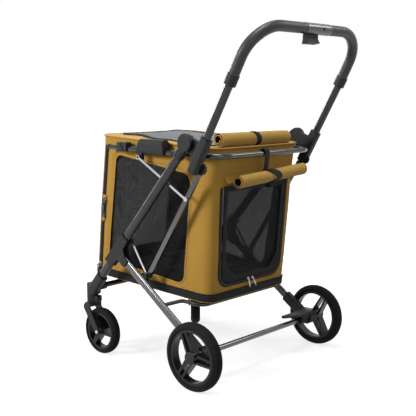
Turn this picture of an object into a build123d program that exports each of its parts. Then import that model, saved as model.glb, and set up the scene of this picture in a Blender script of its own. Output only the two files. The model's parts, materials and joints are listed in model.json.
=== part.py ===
"""Pet stroller: a folding wheeled frame that carries a zipped fabric cabin.

Millimetres. +Z is up, +Y points to the person who pushes, and +X is the stroller's left side.
The origin lies on the floor below the middle of the whole object. Points in the side view are (y, z).
"""
from build123d import *
from math import atan2, cos, degrees, radians, sin
import os

# ---------------------------------------------------------------- driving dimensions
# wheels
rear_wheel_radius = 100.0
rear_wheel_width = 35.0
rear_axle_y = 170.0
front_wheel_radius = 75.0
front_wheel_width = 34.0
swivel_y = -333.0
caster_trail = 46.0
right_caster_turn = -47.0
tyre_depth = 20.0
rim_wall = 7.0
spoke_thickness = 7.0
spoke_depth_share = 0.72
spoke_lean = 3.0
left_wheel_turn = 55.0
rear_axle_radius = 6.0
front_axle_radius = 5.0
stem_radius = 8.0
running_clearance = 0.08
body_clearance = 0.3

# side-view pivots
main_foot = (-300.0, 228.0)
knuckle_pivot = (107.0, 702.0)
leg_pivot = (-171.0, 334.5)
leg_aim_z = rear_wheel_radius - 10.0
stay_pivot = (-142.0, 387.7)
shoe_pivot = (-74.0, 287.0)
link_top = (136.0, 615.0)
rail_pivot = (50.0, 666.0)
brace_front = (-110.5, 648.8)
brace_along_link = 297.8

# layers, each measured sideways from the one inside it
cabin_half_width = 205.0
rail_x = cabin_half_width + 22.0
link_x = rail_x + 13.0
flat_x = link_x + 6.5
main_x = flat_x + 11.5
leg_x = main_x + 2.0
handle_x = main_x + 5.0
caster_x = main_x - 11.0
rear_wheel_x = main_x + 44.0

# sections
tube_wall = 1.6
main_width, main_depth = 28.0, 18.0
leg_width, leg_depth = 26.0, 14.0
link_width, link_depth = 15.0, 8.0
flat_width, flat_thickness = 7.0, 3.0
flat_eye = 7.0
rail_radius = 8.0
cross_radius = 9.0
hoop_radius = 6.0
pin_radius = 4.0

# handle
sleeve_top = (184.0, 716.0)
sleeve_length = 112.0
sleeve_width, sleeve_depth = 34.0, 26.0
knob_radius = 17.0
collar_point = (273.0, 877.0)
bow_corner = (319.0, 964.0)
bow_top = (347.4, 1018.7)
bow_lean_in = 2.0
bow_half_flat = 197.5
bow_bends = (86.0, 124.0)
handle_tube_width, handle_tube_depth = 24.0, 18.0
bow_tube_radius = 10.5
grip_radius = 15.5
latch_from, latch_to = 42.0, -76.0

# cabin
cabin_corner = 36.0
panel = 8.0
cabin_front_low = (-370.0, 250.0)
cabin_rear_low = (139.0, 227.0)
cabin_rear_top = (162.0, 683.0)
cabin_front_top = (-328.0, 708.0)
door_half_width = 152.0
door_low, door_high = 276.0, 566.0
door_corner = 34.0
door_gap = 1.0
door_thickness = 5.0
hinge_bead = 3.0
cushion_thickness = 25.0
hem_height = 24.0
hem_thickness = 1.5
roll_radius = 20.0


# ---------------------------------------------------------------- helpers
def heading(start, end):
    """Angle of the line from start to end in the side view, in degrees above +Y."""
    return degrees(atan2(end[1] - start[1], end[0] - start[0]))


def along(start, angle, distance, offset=0.0):
    """The side-view point that far along a line, and that far to its left."""
    a = radians(angle)
    return (
        start[0] + distance * cos(a) - offset * sin(a),
        start[1] + distance * sin(a) + offset * cos(a),
    )


def span(start, end):
    return ((end[0] - start[0]) ** 2 + (end[1] - start[1]) ** 2) ** 0.5


def line_plane(x, start, angle):
    """A plane across a side-view line: local x lies in the side view, local y is sideways."""
    a = radians(angle)
    return Plane(origin=(x, *start), x_dir=(0, sin(a), -cos(a)), z_dir=(0, cos(a), sin(a)))


def rod(x_from, x_to, point, radius):
    """A round bar across the stroller, centred on a side-view point."""
    low, high = min(x_from, x_to), max(x_from, x_to)
    return extrude(Plane(origin=(low, *point), z_dir=(1, 0, 0)) * Circle(radius), high - low)


def oval_bar(x, start, angle, length, width, depth):
    return extrude(line_plane(x, start, angle) * SlotOverall(width, depth), length)


def oval_tube(x, start, angle, length, width, depth, wall=tube_wall):
    outer = oval_bar(x, start, angle, length, width, depth)
    return outer - oval_bar(x, start, angle, length, width - 2 * wall, depth - 2 * wall)


def plate(x_from, x_to, outline):
    """A flat piece cut to a side-view outline, between two sideways positions."""
    low, high = min(x_from, x_to), max(x_from, x_to)
    face = make_face(Polyline(*[(low, y, z) for y, z in outline], close=True))
    return extrude(face, high - low, dir=(1, 0, 0))


def link_bar(x, start, end, width, depth, eye):
    """A flat bar with a round eye of the given radius on each of two pivots."""
    angle, length = heading(start, end), span(start, end)
    low = x - depth / 2
    bar = plate(
        low,
        low + depth,
        [
            along(start, angle, 0, width / 2),
            along(start, angle, length, width / 2),
            along(start, angle, length, -width / 2),
            along(start, angle, 0, -width / 2),
        ],
    )
    return bar + rod(low, low + depth, start, eye) + rod(low, low + depth, end, eye)


def right_of(shape):
    """The right-hand copy of a left-hand piece."""
    return mirror(shape, about=Plane.YZ)


def both(shape):
    return Compound(children=[*shape.solids(), *right_of(shape).solids()])


def save(name, shape):
    solids = shape.solids()
    export_step(solids[0] if len(solids) == 1 else Compound(children=solids), f"parts/{name}.step")


os.makedirs("parts", exist_ok=True)
main_angle = heading(main_foot, knuckle_pivot)
main_length = span(main_foot, knuckle_pivot)
leg_angle = heading(leg_pivot, (rear_axle_y, leg_aim_z))
leg_length = span(leg_pivot, (rear_axle_y, leg_aim_z))
handle_angle = heading(sleeve_top, collar_point)
link_angle = heading(shoe_pivot, link_top)
rear_axle = (rear_axle_y, rear_wheel_radius)
rear_wheel_inner = rear_wheel_x - rear_wheel_width / 2
stay_face = flat_x + flat_thickness / 2 + body_clearance
main_outer = main_x + main_depth / 2


# ---------------------------------------------------------------- front frame
main_end_gap = 27.0
main_tube = oval_tube(main_x, main_foot, main_angle, main_length - main_end_gap, main_width, main_depth)
main_core = oval_bar(main_x, along(main_foot, main_angle, -1), main_angle,
                     main_length - main_end_gap + 1, main_width, main_depth)
save("main_tube_left", main_tube)
save("main_tube_right", right_of(main_tube))

# knuckle: the outer disc at the top of the main tube, with the lug that carries the seat rail
eye_radius = 26.0
eye_inner, eye_outer = main_x + 4.0, main_x + 18.0
knuckle_strap = 56.0
rail_lug_radius = 9.5
sleeve_inner = handle_x - sleeve_depth / 2


def knuckle_shape():
    eye = rod(eye_inner, eye_outer, knuckle_pivot, eye_radius)
    eye = fillet(eye.edges().filter_by(GeomType.CIRCLE).sort_by(Axis.X)[-1], 3.0)
    strap_start = along(knuckle_pivot, main_angle, -knuckle_strap)
    strap = extrude(
        line_plane(main_x + 1.5, strap_start, main_angle)
        * RectangleRounded(main_width + 3, main_depth + 5, 8),
        knuckle_strap - main_end_gap,
    )
    neck = plate(eye_inner, main_outer + 5.0, [
        along(knuckle_pivot, main_angle, -knuckle_strap / 2, 16),
        along(knuckle_pivot, main_angle, 0, 16),
        along(knuckle_pivot, main_angle, 0, -16),
        along(knuckle_pivot, main_angle, -knuckle_strap / 2, -16),
    ])
    near_rail = along(knuckle_pivot, main_angle, -knuckle_strap * 0.9)
    lug = link_bar((stay_face + eye_inner) / 2, rail_pivot, near_rail,
                   rail_lug_radius * 2 - 2, eye_inner - stay_face, rail_lug_radius)
    inner_limit = Pos(stay_face - 50, 0, 0) * Box(100, 2000, 2400)
    body = eye + strap + neck + lug - inner_limit - main_core
    body -= rod(eye_inner - 20, eye_outer - 4, knuckle_pivot, pin_radius)
    return body - rod(stay_face - 1, eye_inner - 1, rail_pivot, pin_radius)


knuckle = knuckle_shape()
save("knuckles", both(knuckle))

# leg joint: the forked moulding half way down the main tube, which holds the rear leg
ear = 3.6
leg_inner, leg_outer = leg_x - leg_depth / 2, leg_x + leg_depth / 2
joint_low = -body_clearance - ear + leg_inner
joint_high = leg_outer + body_clearance + ear
pivot_offset = span(main_foot, leg_pivot) * sin(radians(main_angle - heading(main_foot, leg_pivot)))
leg_eye = min(leg_width / 2, pivot_offset - main_width / 2 - 1.0)
joint_below, joint_above = 56.0, 62.0
joint_edge = main_width / 2 + 3.0
crotch_radius = 12.0
pivot_along = span(main_foot, leg_pivot) * cos(radians(heading(main_foot, leg_pivot) - main_angle))


def leg_joint_shape():
    low, high = pivot_along - joint_below, pivot_along + joint_above
    web = plate(joint_low, joint_high, [
        along(main_foot, main_angle, low, joint_edge),
        along(main_foot, main_angle, high, joint_edge),
        along(main_foot, main_angle, high, -joint_edge),
        along(main_foot, main_angle, pivot_along + 30, -joint_edge - 2),
        along(leg_pivot, leg_angle, 12, leg_eye + 2),
        along(leg_pivot, leg_angle, 30, leg_eye + 1),
        along(leg_pivot, leg_angle, 30, -leg_eye - 1),
        along(leg_pivot, leg_angle, -8, -leg_eye - 1),
        along(main_foot, main_angle, pivot_along - 34, -joint_edge),
        along(main_foot, main_angle, low, -joint_edge),
    ])
    sideways = web.edges().filter_by(Axis.X)
    crotch_at = Vector(leg_x, *along(leg_pivot, leg_angle, -8, -leg_eye - 1))
    web = fillet(sideways.sort_by_distance(crotch_at)[0], crotch_radius)
    web += rod(joint_low, joint_high, leg_pivot, leg_eye + 2)
    slot_face = main_width / 2 + 0.6
    slot = plate(leg_inner - body_clearance, leg_outer + body_clearance, [
        along(main_foot, main_angle, low - 40, -slot_face),
        along(main_foot, main_angle, high + 40, -slot_face),
        along(main_foot, main_angle, high + 40, -slot_face - 90),
        along(main_foot, main_angle, low - 40, -slot_face - 90),
    ])
    stay_ear = rod(joint_low, leg_inner - body_clearance, stay_pivot, 9)
    body = web + stay_ear - slot - main_core
    return body - rod(joint_low, joint_high, leg_pivot, pin_radius)


leg_joint = leg_joint_shape()
save("leg_joints", both(leg_joint))

# caster housing: an upright post that ends in a slanted socket for the main tube
post_radius = 19.0
post_low, post_high = 163.0, 226.0
socket_length = 44.0
stem_top = 216.0
front_cross = (-295.0, 222.0)


def caster_housing_shape():
    post = Pos(caster_x, swivel_y, (post_low + post_high) / 2) * Cylinder(post_radius, post_high - post_low)
    socket = extrude(
        line_plane(main_x - 1, along(main_foot, main_angle, -26), main_angle)
        * RectangleRounded(main_width + 9, main_depth + 9, 10),
        socket_length + 26,
    )
    shoulder = Pos(caster_x + 3, swivel_y + 10, post_high - 16) * Box(2 * post_radius - 4, 40, 38)
    shoulder = fillet(shoulder.edges(), 8)
    boss = rod(caster_x - post_radius - 1, caster_x, front_cross, cross_radius + 4)
    floor_cut = Pos(caster_x, swivel_y, post_low - 50) * Box(300, 300, 100)
    bore = Pos(caster_x, swivel_y, (post_low + stem_top) / 2) * Cylinder(
        stem_radius + running_clearance, stem_top + 1 - post_low)
    body = post + socket + shoulder + boss - main_core - bore - floor_cut
    return body - rod(caster_x - post_radius - 30, caster_x - 8, front_cross, cross_radius)


housing = caster_housing_shape()
save("caster_housings", both(housing))
cross_reach = caster_x - 8
front_tube = rod(-cross_reach, cross_reach, front_cross, cross_radius)
front_tube -= rod(-cross_reach - 1, cross_reach + 1, front_cross, cross_radius - tube_wall)
save("front_cross_tube", front_tube)

# pins fixed in the front frame: knuckle, leg joint and rail pivots
knuckle_pin = rod(sleeve_inner - 0.5, eye_outer - 4, knuckle_pivot, pin_radius)
leg_pin = rod(joint_low, joint_high, leg_pivot, pin_radius)
rail_pin = rod(rail_x + 1, eye_inner - 1, rail_pivot, pin_radius)
save("frame_pins", both(Compound(children=[knuckle_pin, leg_pin, rail_pin])))


# ---------------------------------------------------------------- rear legs
leg_end_short = 30.0
leg_start = leg_eye - 1.0
leg_tube = oval_tube(leg_x, along(leg_pivot, leg_angle, leg_start), leg_angle,
                     leg_length - leg_end_short - leg_start, leg_width, leg_depth)
leg_tube += rod(leg_inner, leg_outer, leg_pivot, leg_eye)
leg_tube -= rod(leg_inner - 1, leg_outer + 1, leg_pivot, pin_radius + running_clearance)
leg_core = oval_bar(leg_x, along(leg_pivot, leg_angle, 40), leg_angle,
                    leg_length - leg_end_short - 40, leg_width, leg_depth)
save("rear_leg_left", leg_tube)
save("rear_leg_right", right_of(leg_tube))

# wheel bracket: the moulding at the foot of the leg that carries the wheel and the cross tube
bracket_outer = rear_wheel_inner - 2.6
bracket_hub = 21.0

# the pins that the brake pushes out of the brackets into a ring of notches in each rim
brake_pin_radius = 2.5
brake_pin_travel = 6.0
brake_pin_offset = 12.5
brake_pin_at = (rear_axle_y - brake_pin_offset, rear_wheel_radius)
brake_pin_from, brake_pin_to = leg_x - 4.0, bracket_outer - 1.5


def wheel_bracket_shape():
    hub = rod(main_x - 14, bracket_outer, rear_axle, bracket_hub)
    hub = fillet(hub.edges().filter_by(GeomType.CIRCLE), 2.5)
    arm = extrude(
        line_plane(leg_x + 1.5, along(leg_pivot, leg_angle, leg_length - 116), leg_angle)
        * RectangleRounded(leg_width + 9, leg_depth + 9, 7),
        106,
    )
    body = hub + arm - leg_core
    body -= rod(main_x - 20, leg_x, rear_axle, cross_radius)
    body -= rod(brake_pin_from - 1, bracket_outer + 1, brake_pin_at, brake_pin_radius + running_clearance)
    return body - rod(leg_x, bracket_outer + 1, rear_axle, rear_axle_radius)


bracket = wheel_bracket_shape()
save("wheel_brackets", both(bracket))

rear_cross = rod(-leg_x, leg_x, rear_axle, cross_radius)
rear_cross -= rod(-leg_x - 1, leg_x + 1, rear_axle, cross_radius - tube_wall)
save("rear_cross_tube", rear_cross)

hub_cap_x = rear_wheel_x + rear_wheel_width / 2 + 3
axle_end = hub_cap_x - 6
rear_stub = rod(leg_x + body_clearance, axle_end, rear_axle, rear_axle_radius)
save("rear_axles", both(rear_stub))

# hoop under the cabin, between the rear legs
hoop_along = 211.6
hoop_reach = leg_inner - 47.0
hoop_root = along(leg_pivot, leg_angle, hoop_along)
hoop_points = [(leg_inner, *hoop_root), (hoop_reach, 32, 221), (hoop_reach - 20, 100, 214)]
hoop_line = FilletPolyline(*hoop_points, *[(-x, y, z) for x, y, z in reversed(hoop_points)],
                           radius=[24, 34, 34, 24])
hoop = sweep(Plane(origin=hoop_line @ 0, z_dir=hoop_line % 0) * Circle(hoop_radius), path=hoop_line)
save("base_hoop", hoop - both(leg_core + Pos(leg_x, 0, 300) * Box(leg_depth, 900, 900)))


# ---------------------------------------------------------------- wheels
def wheel(radius, width, hub_radius, bore, cap):
    """A solid tyre and a rim with three pairs of spokes, about the X axis at the origin."""
    bead = radius - tyre_depth * radius / rear_wheel_radius
    half = width / 2
    rise = [(half - 3, bead), (half, bead + 3), (half, radius - 11), (half * 0.66, radius - 2.5),
            (half * 0.42, radius - 0.6), (half * 0.38, radius - 1.8), (half * 0.3, radius - 1.8),
            (half * 0.24, radius)]
    fall = [(-across, out) for across, out in reversed(rise)]
    profile = make_face(Polyline(*rise, *fall, close=True))
    tyre = revolve(profile, Axis.X)
    ring_half = half - 4
    ring = rod(-ring_half, ring_half, (0, 0), bead) - rod(-half, half, (0, 0), bead - rim_wall)
    hub = rod(-half + 1, half + cap, (0, 0), hub_radius)
    hub = fillet(hub.edges().filter_by(GeomType.CIRCLE).sort_by(Axis.X)[-1], 2.5)
    spokes = Part()
    for turn in (90, 210, 330):
        for side in (-1, 1):
            bar = Pos(0, side * (hub_radius - spoke_thickness), (bead - rim_wall / 2) / 2) * Box(
                width * spoke_depth_share, spoke_thickness, bead - rim_wall / 2)
            spokes += Rot(turn, 0, 0) * (Rot(side * spoke_lean, 0, 0) * bar)
    rim = ring + hub + spokes
    rim -= rod(-half - 1, half + cap - 3.5, (0, 0), bore)
    return tyre, rim


rear_tyre, rear_rim = wheel(rear_wheel_radius, rear_wheel_width, 19.0,
                            rear_axle_radius + running_clearance, 3.0)
notch_low = -rear_wheel_width / 2
notch_high = brake_pin_to + brake_pin_travel + 1 - rear_wheel_x
notch_ring = rod(notch_low, notch_high, (0, 0), brake_pin_offset + brake_pin_radius + 0.5)
notch_ring -= rod(notch_low, notch_high, (0, 0), brake_pin_offset - brake_pin_radius - 0.5)
rear_rim -= notch_ring
wheel_place = Pos(rear_wheel_x, *rear_axle)
save("rear_tyre_left", wheel_place * rear_tyre)
save("rear_rim_left", wheel_place * Rot(left_wheel_turn, 0, 0) * rear_rim)
save("rear_tyre_right", right_of(wheel_place * rear_tyre))
save("rear_rim_right", right_of(wheel_place * rear_rim))

front_hub_reach = 1.5
front_tyre, front_rim = wheel(front_wheel_radius, front_wheel_width, 13.0,
                              front_axle_radius + running_clearance, front_hub_reach)
front_rim -= rod(0, 60, (0, 0), front_axle_radius + running_clearance)

# caster fork: crown, two arms and the stem in the housing
arm_thick = 6.0
arm_top_radius, arm_low_radius = 13.0, 11.0
arm_gap = front_wheel_width / 2 + 3.0
crown_low, crown_high = 152.0, post_low - body_clearance
fork_top = (swivel_y - 4.0, crown_high - arm_top_radius)
front_axle = (swivel_y + caster_trail, front_wheel_radius)


def fork_shape():
    crown = Pos(0, swivel_y + 1, (crown_low + crown_high) / 2) * Box(
        2 * (arm_gap + arm_thick), 32, crown_high - crown_low)
    crown = fillet(crown.edges().filter_by(Axis.Z), 8)
    stem = Pos(0, swivel_y, (crown_low + stem_top - 1) / 2) * Cylinder(stem_radius, stem_top - 1 - crown_low)
    arms = Part()
    for low in (arm_gap, -arm_gap - arm_thick):
        angle, length = heading(fork_top, front_axle), span(fork_top, front_axle)
        arms += plate(low, low + arm_thick, [
            along(fork_top, angle, 0, arm_top_radius), along(fork_top, angle, length, arm_low_radius - 1),
            along(fork_top, angle, length, 1 - arm_low_radius), along(fork_top, angle, 0, -arm_top_radius)])
        arms += rod(low, low + arm_thick, fork_top, arm_top_radius)
        arms += rod(low, low + arm_thick, front_axle, arm_low_radius)
    return crown + stem + arms - rod(-60, 60, front_axle, front_axle_radius)


arm_outer = arm_gap + arm_thick
caster_left = {
    "caster_fork": fork_shape(),
    "front_axle": rod(-arm_outer - 1.5, arm_outer + 1.5, front_axle, front_axle_radius),
    "front_tyre": Pos(0, *front_axle) * Rot(left_wheel_turn, 0, 0) * front_tyre,
    "front_rim": Pos(0, *front_axle) * Rot(left_wheel_turn, 0, 0) * front_rim,
}
for name, shape in caster_left.items():
    save(f"{name}_left", Pos(caster_x, 0, 0) * shape)
    turned = Pos(0, swivel_y, 0) * Rot(0, 0, right_caster_turn) * Pos(0, -swivel_y, 0) * shape
    save(f"{name}_right", Pos(-caster_x, 0, 0) * turned)

# swivel lock: a tab behind the post
lock_depth, lock_height, lock_lift = 14.0, 20.0, 5.0
lock_tab = Pos(caster_x, swivel_y + post_radius + body_clearance + lock_depth / 2,
               post_low + lock_lift + lock_height / 2) * Box(20, lock_depth, lock_height)
lock_tab = fillet(lock_tab.edges().filter_by(Axis.X), 4)
save("swivel_lock_left", lock_tab)
save("swivel_lock_right", right_of(lock_tab))


# ---------------------------------------------------------------- fold linkage
shoe_length = 34.0
shoe_wall = 3.0


def shoe_shape():
    foot = along(leg_pivot, leg_angle, shoe_along - shoe_length / 2)
    low_x = stay_face
    high_x = leg_x
    block = plate(low_x, high_x, [
        along(foot, leg_angle, 0, -leg_width / 2 - shoe_wall),
        along(foot, leg_angle, shoe_length, -leg_width / 2 - shoe_wall),
        along(foot, leg_angle, shoe_length, leg_width / 2 + shoe_wall),
        along(foot, leg_angle, 0, leg_width / 2 + shoe_wall)])
    block += rod(low_x, high_x, shoe_pivot, 9)
    hole = oval_bar(leg_x, along(foot, leg_angle, -60), leg_angle, shoe_length + 120,
                    leg_width + 2 * body_clearance, leg_depth + 2 * body_clearance)
    return block - hole + rod(link_x - link_depth / 2 - 1, low_x + 1, shoe_pivot, pin_radius)


shoe_along = span(leg_pivot, shoe_pivot) * cos(radians(heading(leg_pivot, shoe_pivot) - leg_angle))
save("leg_shoes", both(shoe_shape()))

link = link_bar(link_x, shoe_pivot, link_top, link_width, link_depth, link_width / 2 + 1)
link -= rod(link_x - 10, link_x + 10, shoe_pivot, pin_radius + running_clearance)
save("link_tube_left", link)
save("link_tube_right", right_of(link))

# the stay and the brace each carry a rivet at the end that lies against its neighbour
rivet_stub = 0.7
brace_rear = along(shoe_pivot, link_angle, brace_along_link)


def flat_link(bored_end, riveted_end):
    """A flat link with a bore at one pivot and a closed rivet at the other."""
    bar = link_bar(flat_x, bored_end, riveted_end, flat_width, flat_thickness, flat_eye)
    half = flat_thickness / 2
    bar += rod(flat_x - half - rivet_stub, flat_x + half + rivet_stub, riveted_end, pin_radius)
    return bar - rod(flat_x - half - 1, flat_x + half + 1, bored_end, pin_radius + running_clearance)


save("leg_stays", both(flat_link(shoe_pivot, stay_pivot)))
save("rail_braces", both(flat_link(brace_front, brace_rear)))


# ---------------------------------------------------------------- seat rail
rail_front_y, rail_rear_y = -258.0, 195.0
rail_bend = 56.0
rail_slope = 0.022


def rail_height(y):
    return rail_pivot[1] + (rail_pivot[0] - y) * rail_slope


rail_points = [(rail_x, y, rail_height(y)) for y in (rail_front_y, rail_rear_y)]
rail_line = FilletPolyline(*rail_points, *[(-x, y, z) for x, y, z in reversed(rail_points)],
                           radius=rail_bend)
rail = sweep(Plane(origin=rail_line @ 0, z_dir=rail_line % 0) * Circle(rail_radius), path=rail_line)
rail_eye = rod(rail_x - rail_radius, rail_x + rail_radius, rail_pivot, 11)
rail += both(rail_eye)
rail -= both(rod(rail_x, rail_x + 20, rail_pivot, pin_radius + running_clearance))
save("seat_rail", rail)

adapter_from, adapter_to = -129.0, -8.0
snap_radius, snap_inset = 7.0, 22.0
clip_from, clip_to = -214.0, -172.0


def adapter_shape():
    middle = (adapter_from + adapter_to) / 2
    low, high = rail_height(middle) - 11, rail_height(middle) + 35
    body = plate(rail_x - 16, rail_x + 16, [
        (adapter_from, low), (adapter_to, low), (adapter_to - 5, high), (adapter_from + 18, high)])
    body = fillet(body.edges().filter_by(Axis.Y), 12)
    body = fillet(body.edges().group_by(Axis.Y)[-1], 3)
    tab = plate(rail_x + 2, link_x + 2, [
        (brace_front[0] - 11, rail_height(middle)), (brace_front[0] + 11, rail_height(middle)),
        (brace_front[0] + 9, brace_front[1] - 8), (brace_front[0] - 9, brace_front[1] - 12)])
    stud = rod(link_x, flat_x + flat_thickness / 2, brace_front, pin_radius)
    snaps = Part()
    for end in (adapter_from + snap_inset, adapter_to - snap_inset):
        snaps += rod(cabin_half_width, rail_x, (end, rail_height(end) + 6), snap_radius)
    return body + tab + stud + snaps


def clip_shape():
    middle = (clip_from + clip_to) / 2
    body = Pos(rail_x, middle, rail_height(middle) + 5) * Box(25, clip_to - clip_from, 28)
    body = fillet(body.edges().filter_by(Axis.Y), 6)
    groove = Pos(rail_x + 13, middle, rail_height(middle) + 9) * Rot(35, 0, 0) * Box(5, 4, 60)
    return body - groove


end_cap = Pos(rail_x, rail_front_y - 3, rail_height(rail_front_y - 3)) * Rot(90, 0, 0) * Cylinder(
    rail_radius + 1, 6)
end_cap = fillet(end_cap.edges().filter_by(GeomType.CIRCLE).sort_by(Axis.Y)[0], 2.5)
save("rail_adapters", both(adapter_shape() - rail))
save("rail_fittings", both(clip_shape() - rail) + both(end_cap - rail))


# ---------------------------------------------------------------- handle
sleeve_foot = along(sleeve_top, handle_angle, -sleeve_length)


def sleeve_shape():
    barrel = extrude(line_plane(handle_x, sleeve_foot, handle_angle)
                     * RectangleRounded(sleeve_width, sleeve_depth, 9), sleeve_length)
    barrel = fillet(barrel.edges().group_by(Axis((0, *sleeve_foot),
                    (0, cos(radians(handle_angle)), sin(radians(handle_angle)))))[0], 5)
    high_x = eye_inner - body_clearance
    arm = plate(sleeve_inner, high_x, [
        along(knuckle_pivot, handle_angle, -22, 0), along(knuckle_pivot, handle_angle, 16, 14),
        along(sleeve_top, handle_angle, -20, 0), along(sleeve_top, handle_angle, -78, 0)])
    arm += rod(sleeve_inner, high_x, knuckle_pivot, 22)
    socket = oval_bar(handle_x, along(sleeve_top, handle_angle, -70), handle_angle, 80,
                      handle_tube_width, handle_tube_depth)
    knob_centre = along(sleeve_top, handle_angle, -92, -14)
    knob_inner = link_x + link_depth / 2 + 0.9
    knob = rod(knob_inner, sleeve_inner + 3, knob_centre, knob_radius)
    for turn in range(10):
        knob -= rod(knob_inner - 1, sleeve_inner - 1, along(knob_centre, turn * 36, knob_radius + 1), 3)
    body = barrel + arm + knob - socket
    return body - rod(sleeve_inner - 1, high_x + 1, knuckle_pivot, pin_radius + running_clearance)


sleeve = sleeve_shape()
save("handle_sleeve_left", sleeve)
save("handle_sleeve_right", right_of(sleeve))

leg_start = along(sleeve_top, handle_angle, -68)
handle_leg = oval_tube(handle_x, leg_start, handle_angle, span(leg_start, collar_point) - 6,
                       handle_tube_width, handle_tube_depth)
save("handle_legs", both(handle_leg))

bow_points = [(handle_x, *collar_point), (handle_x - bow_lean_in, *bow_corner), (bow_half_flat, *bow_top)]
bow_line = FilletPolyline(*bow_points, *[(-x, y, z) for x, y, z in reversed(bow_points)],
                          radius=[*bow_bends, *reversed(bow_bends)])
bow_plane = Plane(origin=bow_line @ 0, z_dir=bow_line % 0)
bow = sweep(bow_plane * Circle(bow_tube_radius), path=bow_line)
grip = sweep(bow_plane * Circle(grip_radius), path=bow_line) - bow
latch_zone = Pos((latch_from + latch_to) / 2, bow_top[0], bow_top[1]) * Box(
    latch_from - latch_to, 80, 80)
save("handle_bow", bow)

collar = oval_bar(handle_x, along(collar_point, handle_angle, -16), handle_angle, 30, 36, 33)
collar -= oval_bar(handle_x, along(collar_point, handle_angle, -20), handle_angle, 14.2,
                   handle_tube_width, handle_tube_depth)
collar -= bow + grip
save("grip_collars", both(collar.solids().sort_by(SortBy.VOLUME)[-1]))
save("grip_cover", grip - latch_zone)

latch = rod(latch_to, latch_from, bow_top, grip_radius + 1.0)
latch = fillet(latch.edges().filter_by(GeomType.CIRCLE), 1.5)
latch_inner = rod(latch_to - 1, latch_from + 1, bow_top, bow_tube_radius)
trigger_from, trigger_to = 40.0, -18.0
trigger_travel = 5.0
button_x = -38.0
trigger_slot = Pos((trigger_from + trigger_to) / 2, bow_top[0], bow_top[1] - grip_radius) * Box(
    trigger_from - trigger_to + 1.0, 13.0, 11.0)
button_slot = Pos(button_x, bow_top[0] + grip_radius, bow_top[1]) * Box(13, 9, 9)
save("latch_housing", latch - latch_inner - (trigger_slot - latch_inner) - button_slot)

lever_top = bow_top[1] - bow_tube_radius - trigger_travel - 0.8
lever = plate(trigger_to, trigger_from, [
    (bow_top[0] - 6, lever_top), (bow_top[0] + 6, lever_top),
    (bow_top[0] + 6, lever_top - 12), (bow_top[0] + 13, lever_top - 24),
    (bow_top[0] - 9, lever_top - 27), (bow_top[0] - 6, lever_top - 12)])
save("fold_trigger", lever)
button = Pos(button_x, bow_top[0] + grip_radius + 0.2, bow_top[1]) * Box(12, 6, 8)
save("latch_button", button)

# ---------------------------------------------------------------- brake
pedal_root, pedal_end = -main_x + 20.0, -112.0
pedal_gap = 0.3
pedal_rise, pedal_thickness = 24.0, 7.0


def pedal_shape():
    ring = rod(pedal_root, pedal_root + 34, rear_axle, cross_radius + 6)
    tread = rear_wheel_radius + pedal_rise
    outline = make_face(Polyline(
        (pedal_root, rear_axle_y - 4, tread), (pedal_end, rear_axle_y - 6, tread),
        (pedal_end - 8, rear_axle_y + 6, tread), (pedal_end - 52, rear_axle_y + 30, tread),
        (pedal_root, rear_axle_y + 30, tread), close=True))
    outline = fillet(outline.vertices(), 4)
    blade = extrude(outline, pedal_thickness, dir=(0, 0, 1))
    web = Pos(pedal_root + 17, rear_axle_y + 9, rear_wheel_radius + 16) * Box(34, 16, 22)
    bore = rod(pedal_root - 1, pedal_root + 200, rear_axle, cross_radius + pedal_gap)
    return ring + blade + web - bore


save("brake_pedal", pedal_shape())

brake_pin = rod(brake_pin_from, brake_pin_to, brake_pin_at, brake_pin_radius)
save("brake_pin_left", brake_pin)
save("brake_pin_right", right_of(brake_pin))


# ---------------------------------------------------------------- cabin
reach = 1000.0


def between(start, end, level, axis):
    """The other coordinate of a cabin edge line, at one y (axis 0) or at one z (axis 1)."""
    share = (level - start[axis]) / (end[axis] - start[axis])
    return start[1 - axis] + share * (end[1 - axis] - start[1 - axis])


def bottom_line(y):
    return between(cabin_front_low, cabin_rear_low, y, 0)


def top_line(y):
    return between(cabin_front_top, cabin_rear_top, y, 0)


def rear_line(z):
    return between(cabin_rear_low, cabin_rear_top, z, 1)


def front_line(z):
    return between(cabin_front_low, cabin_front_top, z, 1)


def cabin_block(inset):
    """The cabin in the side view with rounded upright corners, shrunk on all sides by an inset."""
    low, high = 0.0, reach
    block = plate(-cabin_half_width + inset, cabin_half_width - inset, [
        (front_line(low) + inset, low), (rear_line(low) - inset, low),
        (rear_line(high) - inset, high), (front_line(high) + inset, high)])
    uprights = [edge for edge in block.edges() if abs((edge % 0.5).Z) > 0.9]
    block = fillet(uprights, cabin_corner - inset)
    return block & layer(inset, -inset)


def layer(above_bottom, above_top):
    """Everything between two planes parallel to the cabin floor and the cabin roof."""
    return plate(-reach, reach, [
        (-reach, bottom_line(-reach) + above_bottom), (reach, bottom_line(reach) + above_bottom),
        (reach, top_line(reach) + above_top), (-reach, top_line(-reach) + above_top)])


cabin_outer = cabin_block(0.0)
walls = cabin_block(0.0) - cabin_block(panel)
floor_slab = cabin_outer - layer(panel, reach / 4)
roof_slab = cabin_outer - layer(-reach / 4, -panel)
walls = walls & layer(panel, -panel)
flat_half = cabin_half_width - cabin_corner
middle_y = (cabin_front_low[0] + cabin_rear_low[0]) / 2
front_half = Pos(0, middle_y - reach, 0) * Box(2 * flat_half, 2 * reach, 4 * reach)
rear_half = Pos(0, middle_y + reach, 0) * Box(2 * flat_half, 2 * reach, 4 * reach)
left_zone = Pos(flat_half + reach, 0, 0) * Box(2 * reach, 4 * reach, 4 * reach)

save("cabin_floor", floor_slab)
save("cabin_roof", roof_slab)
save("cabin_side_left", walls & left_zone)
save("cabin_side_right", right_of(walls & left_zone))
save("cabin_front", walls & front_half)


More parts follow.
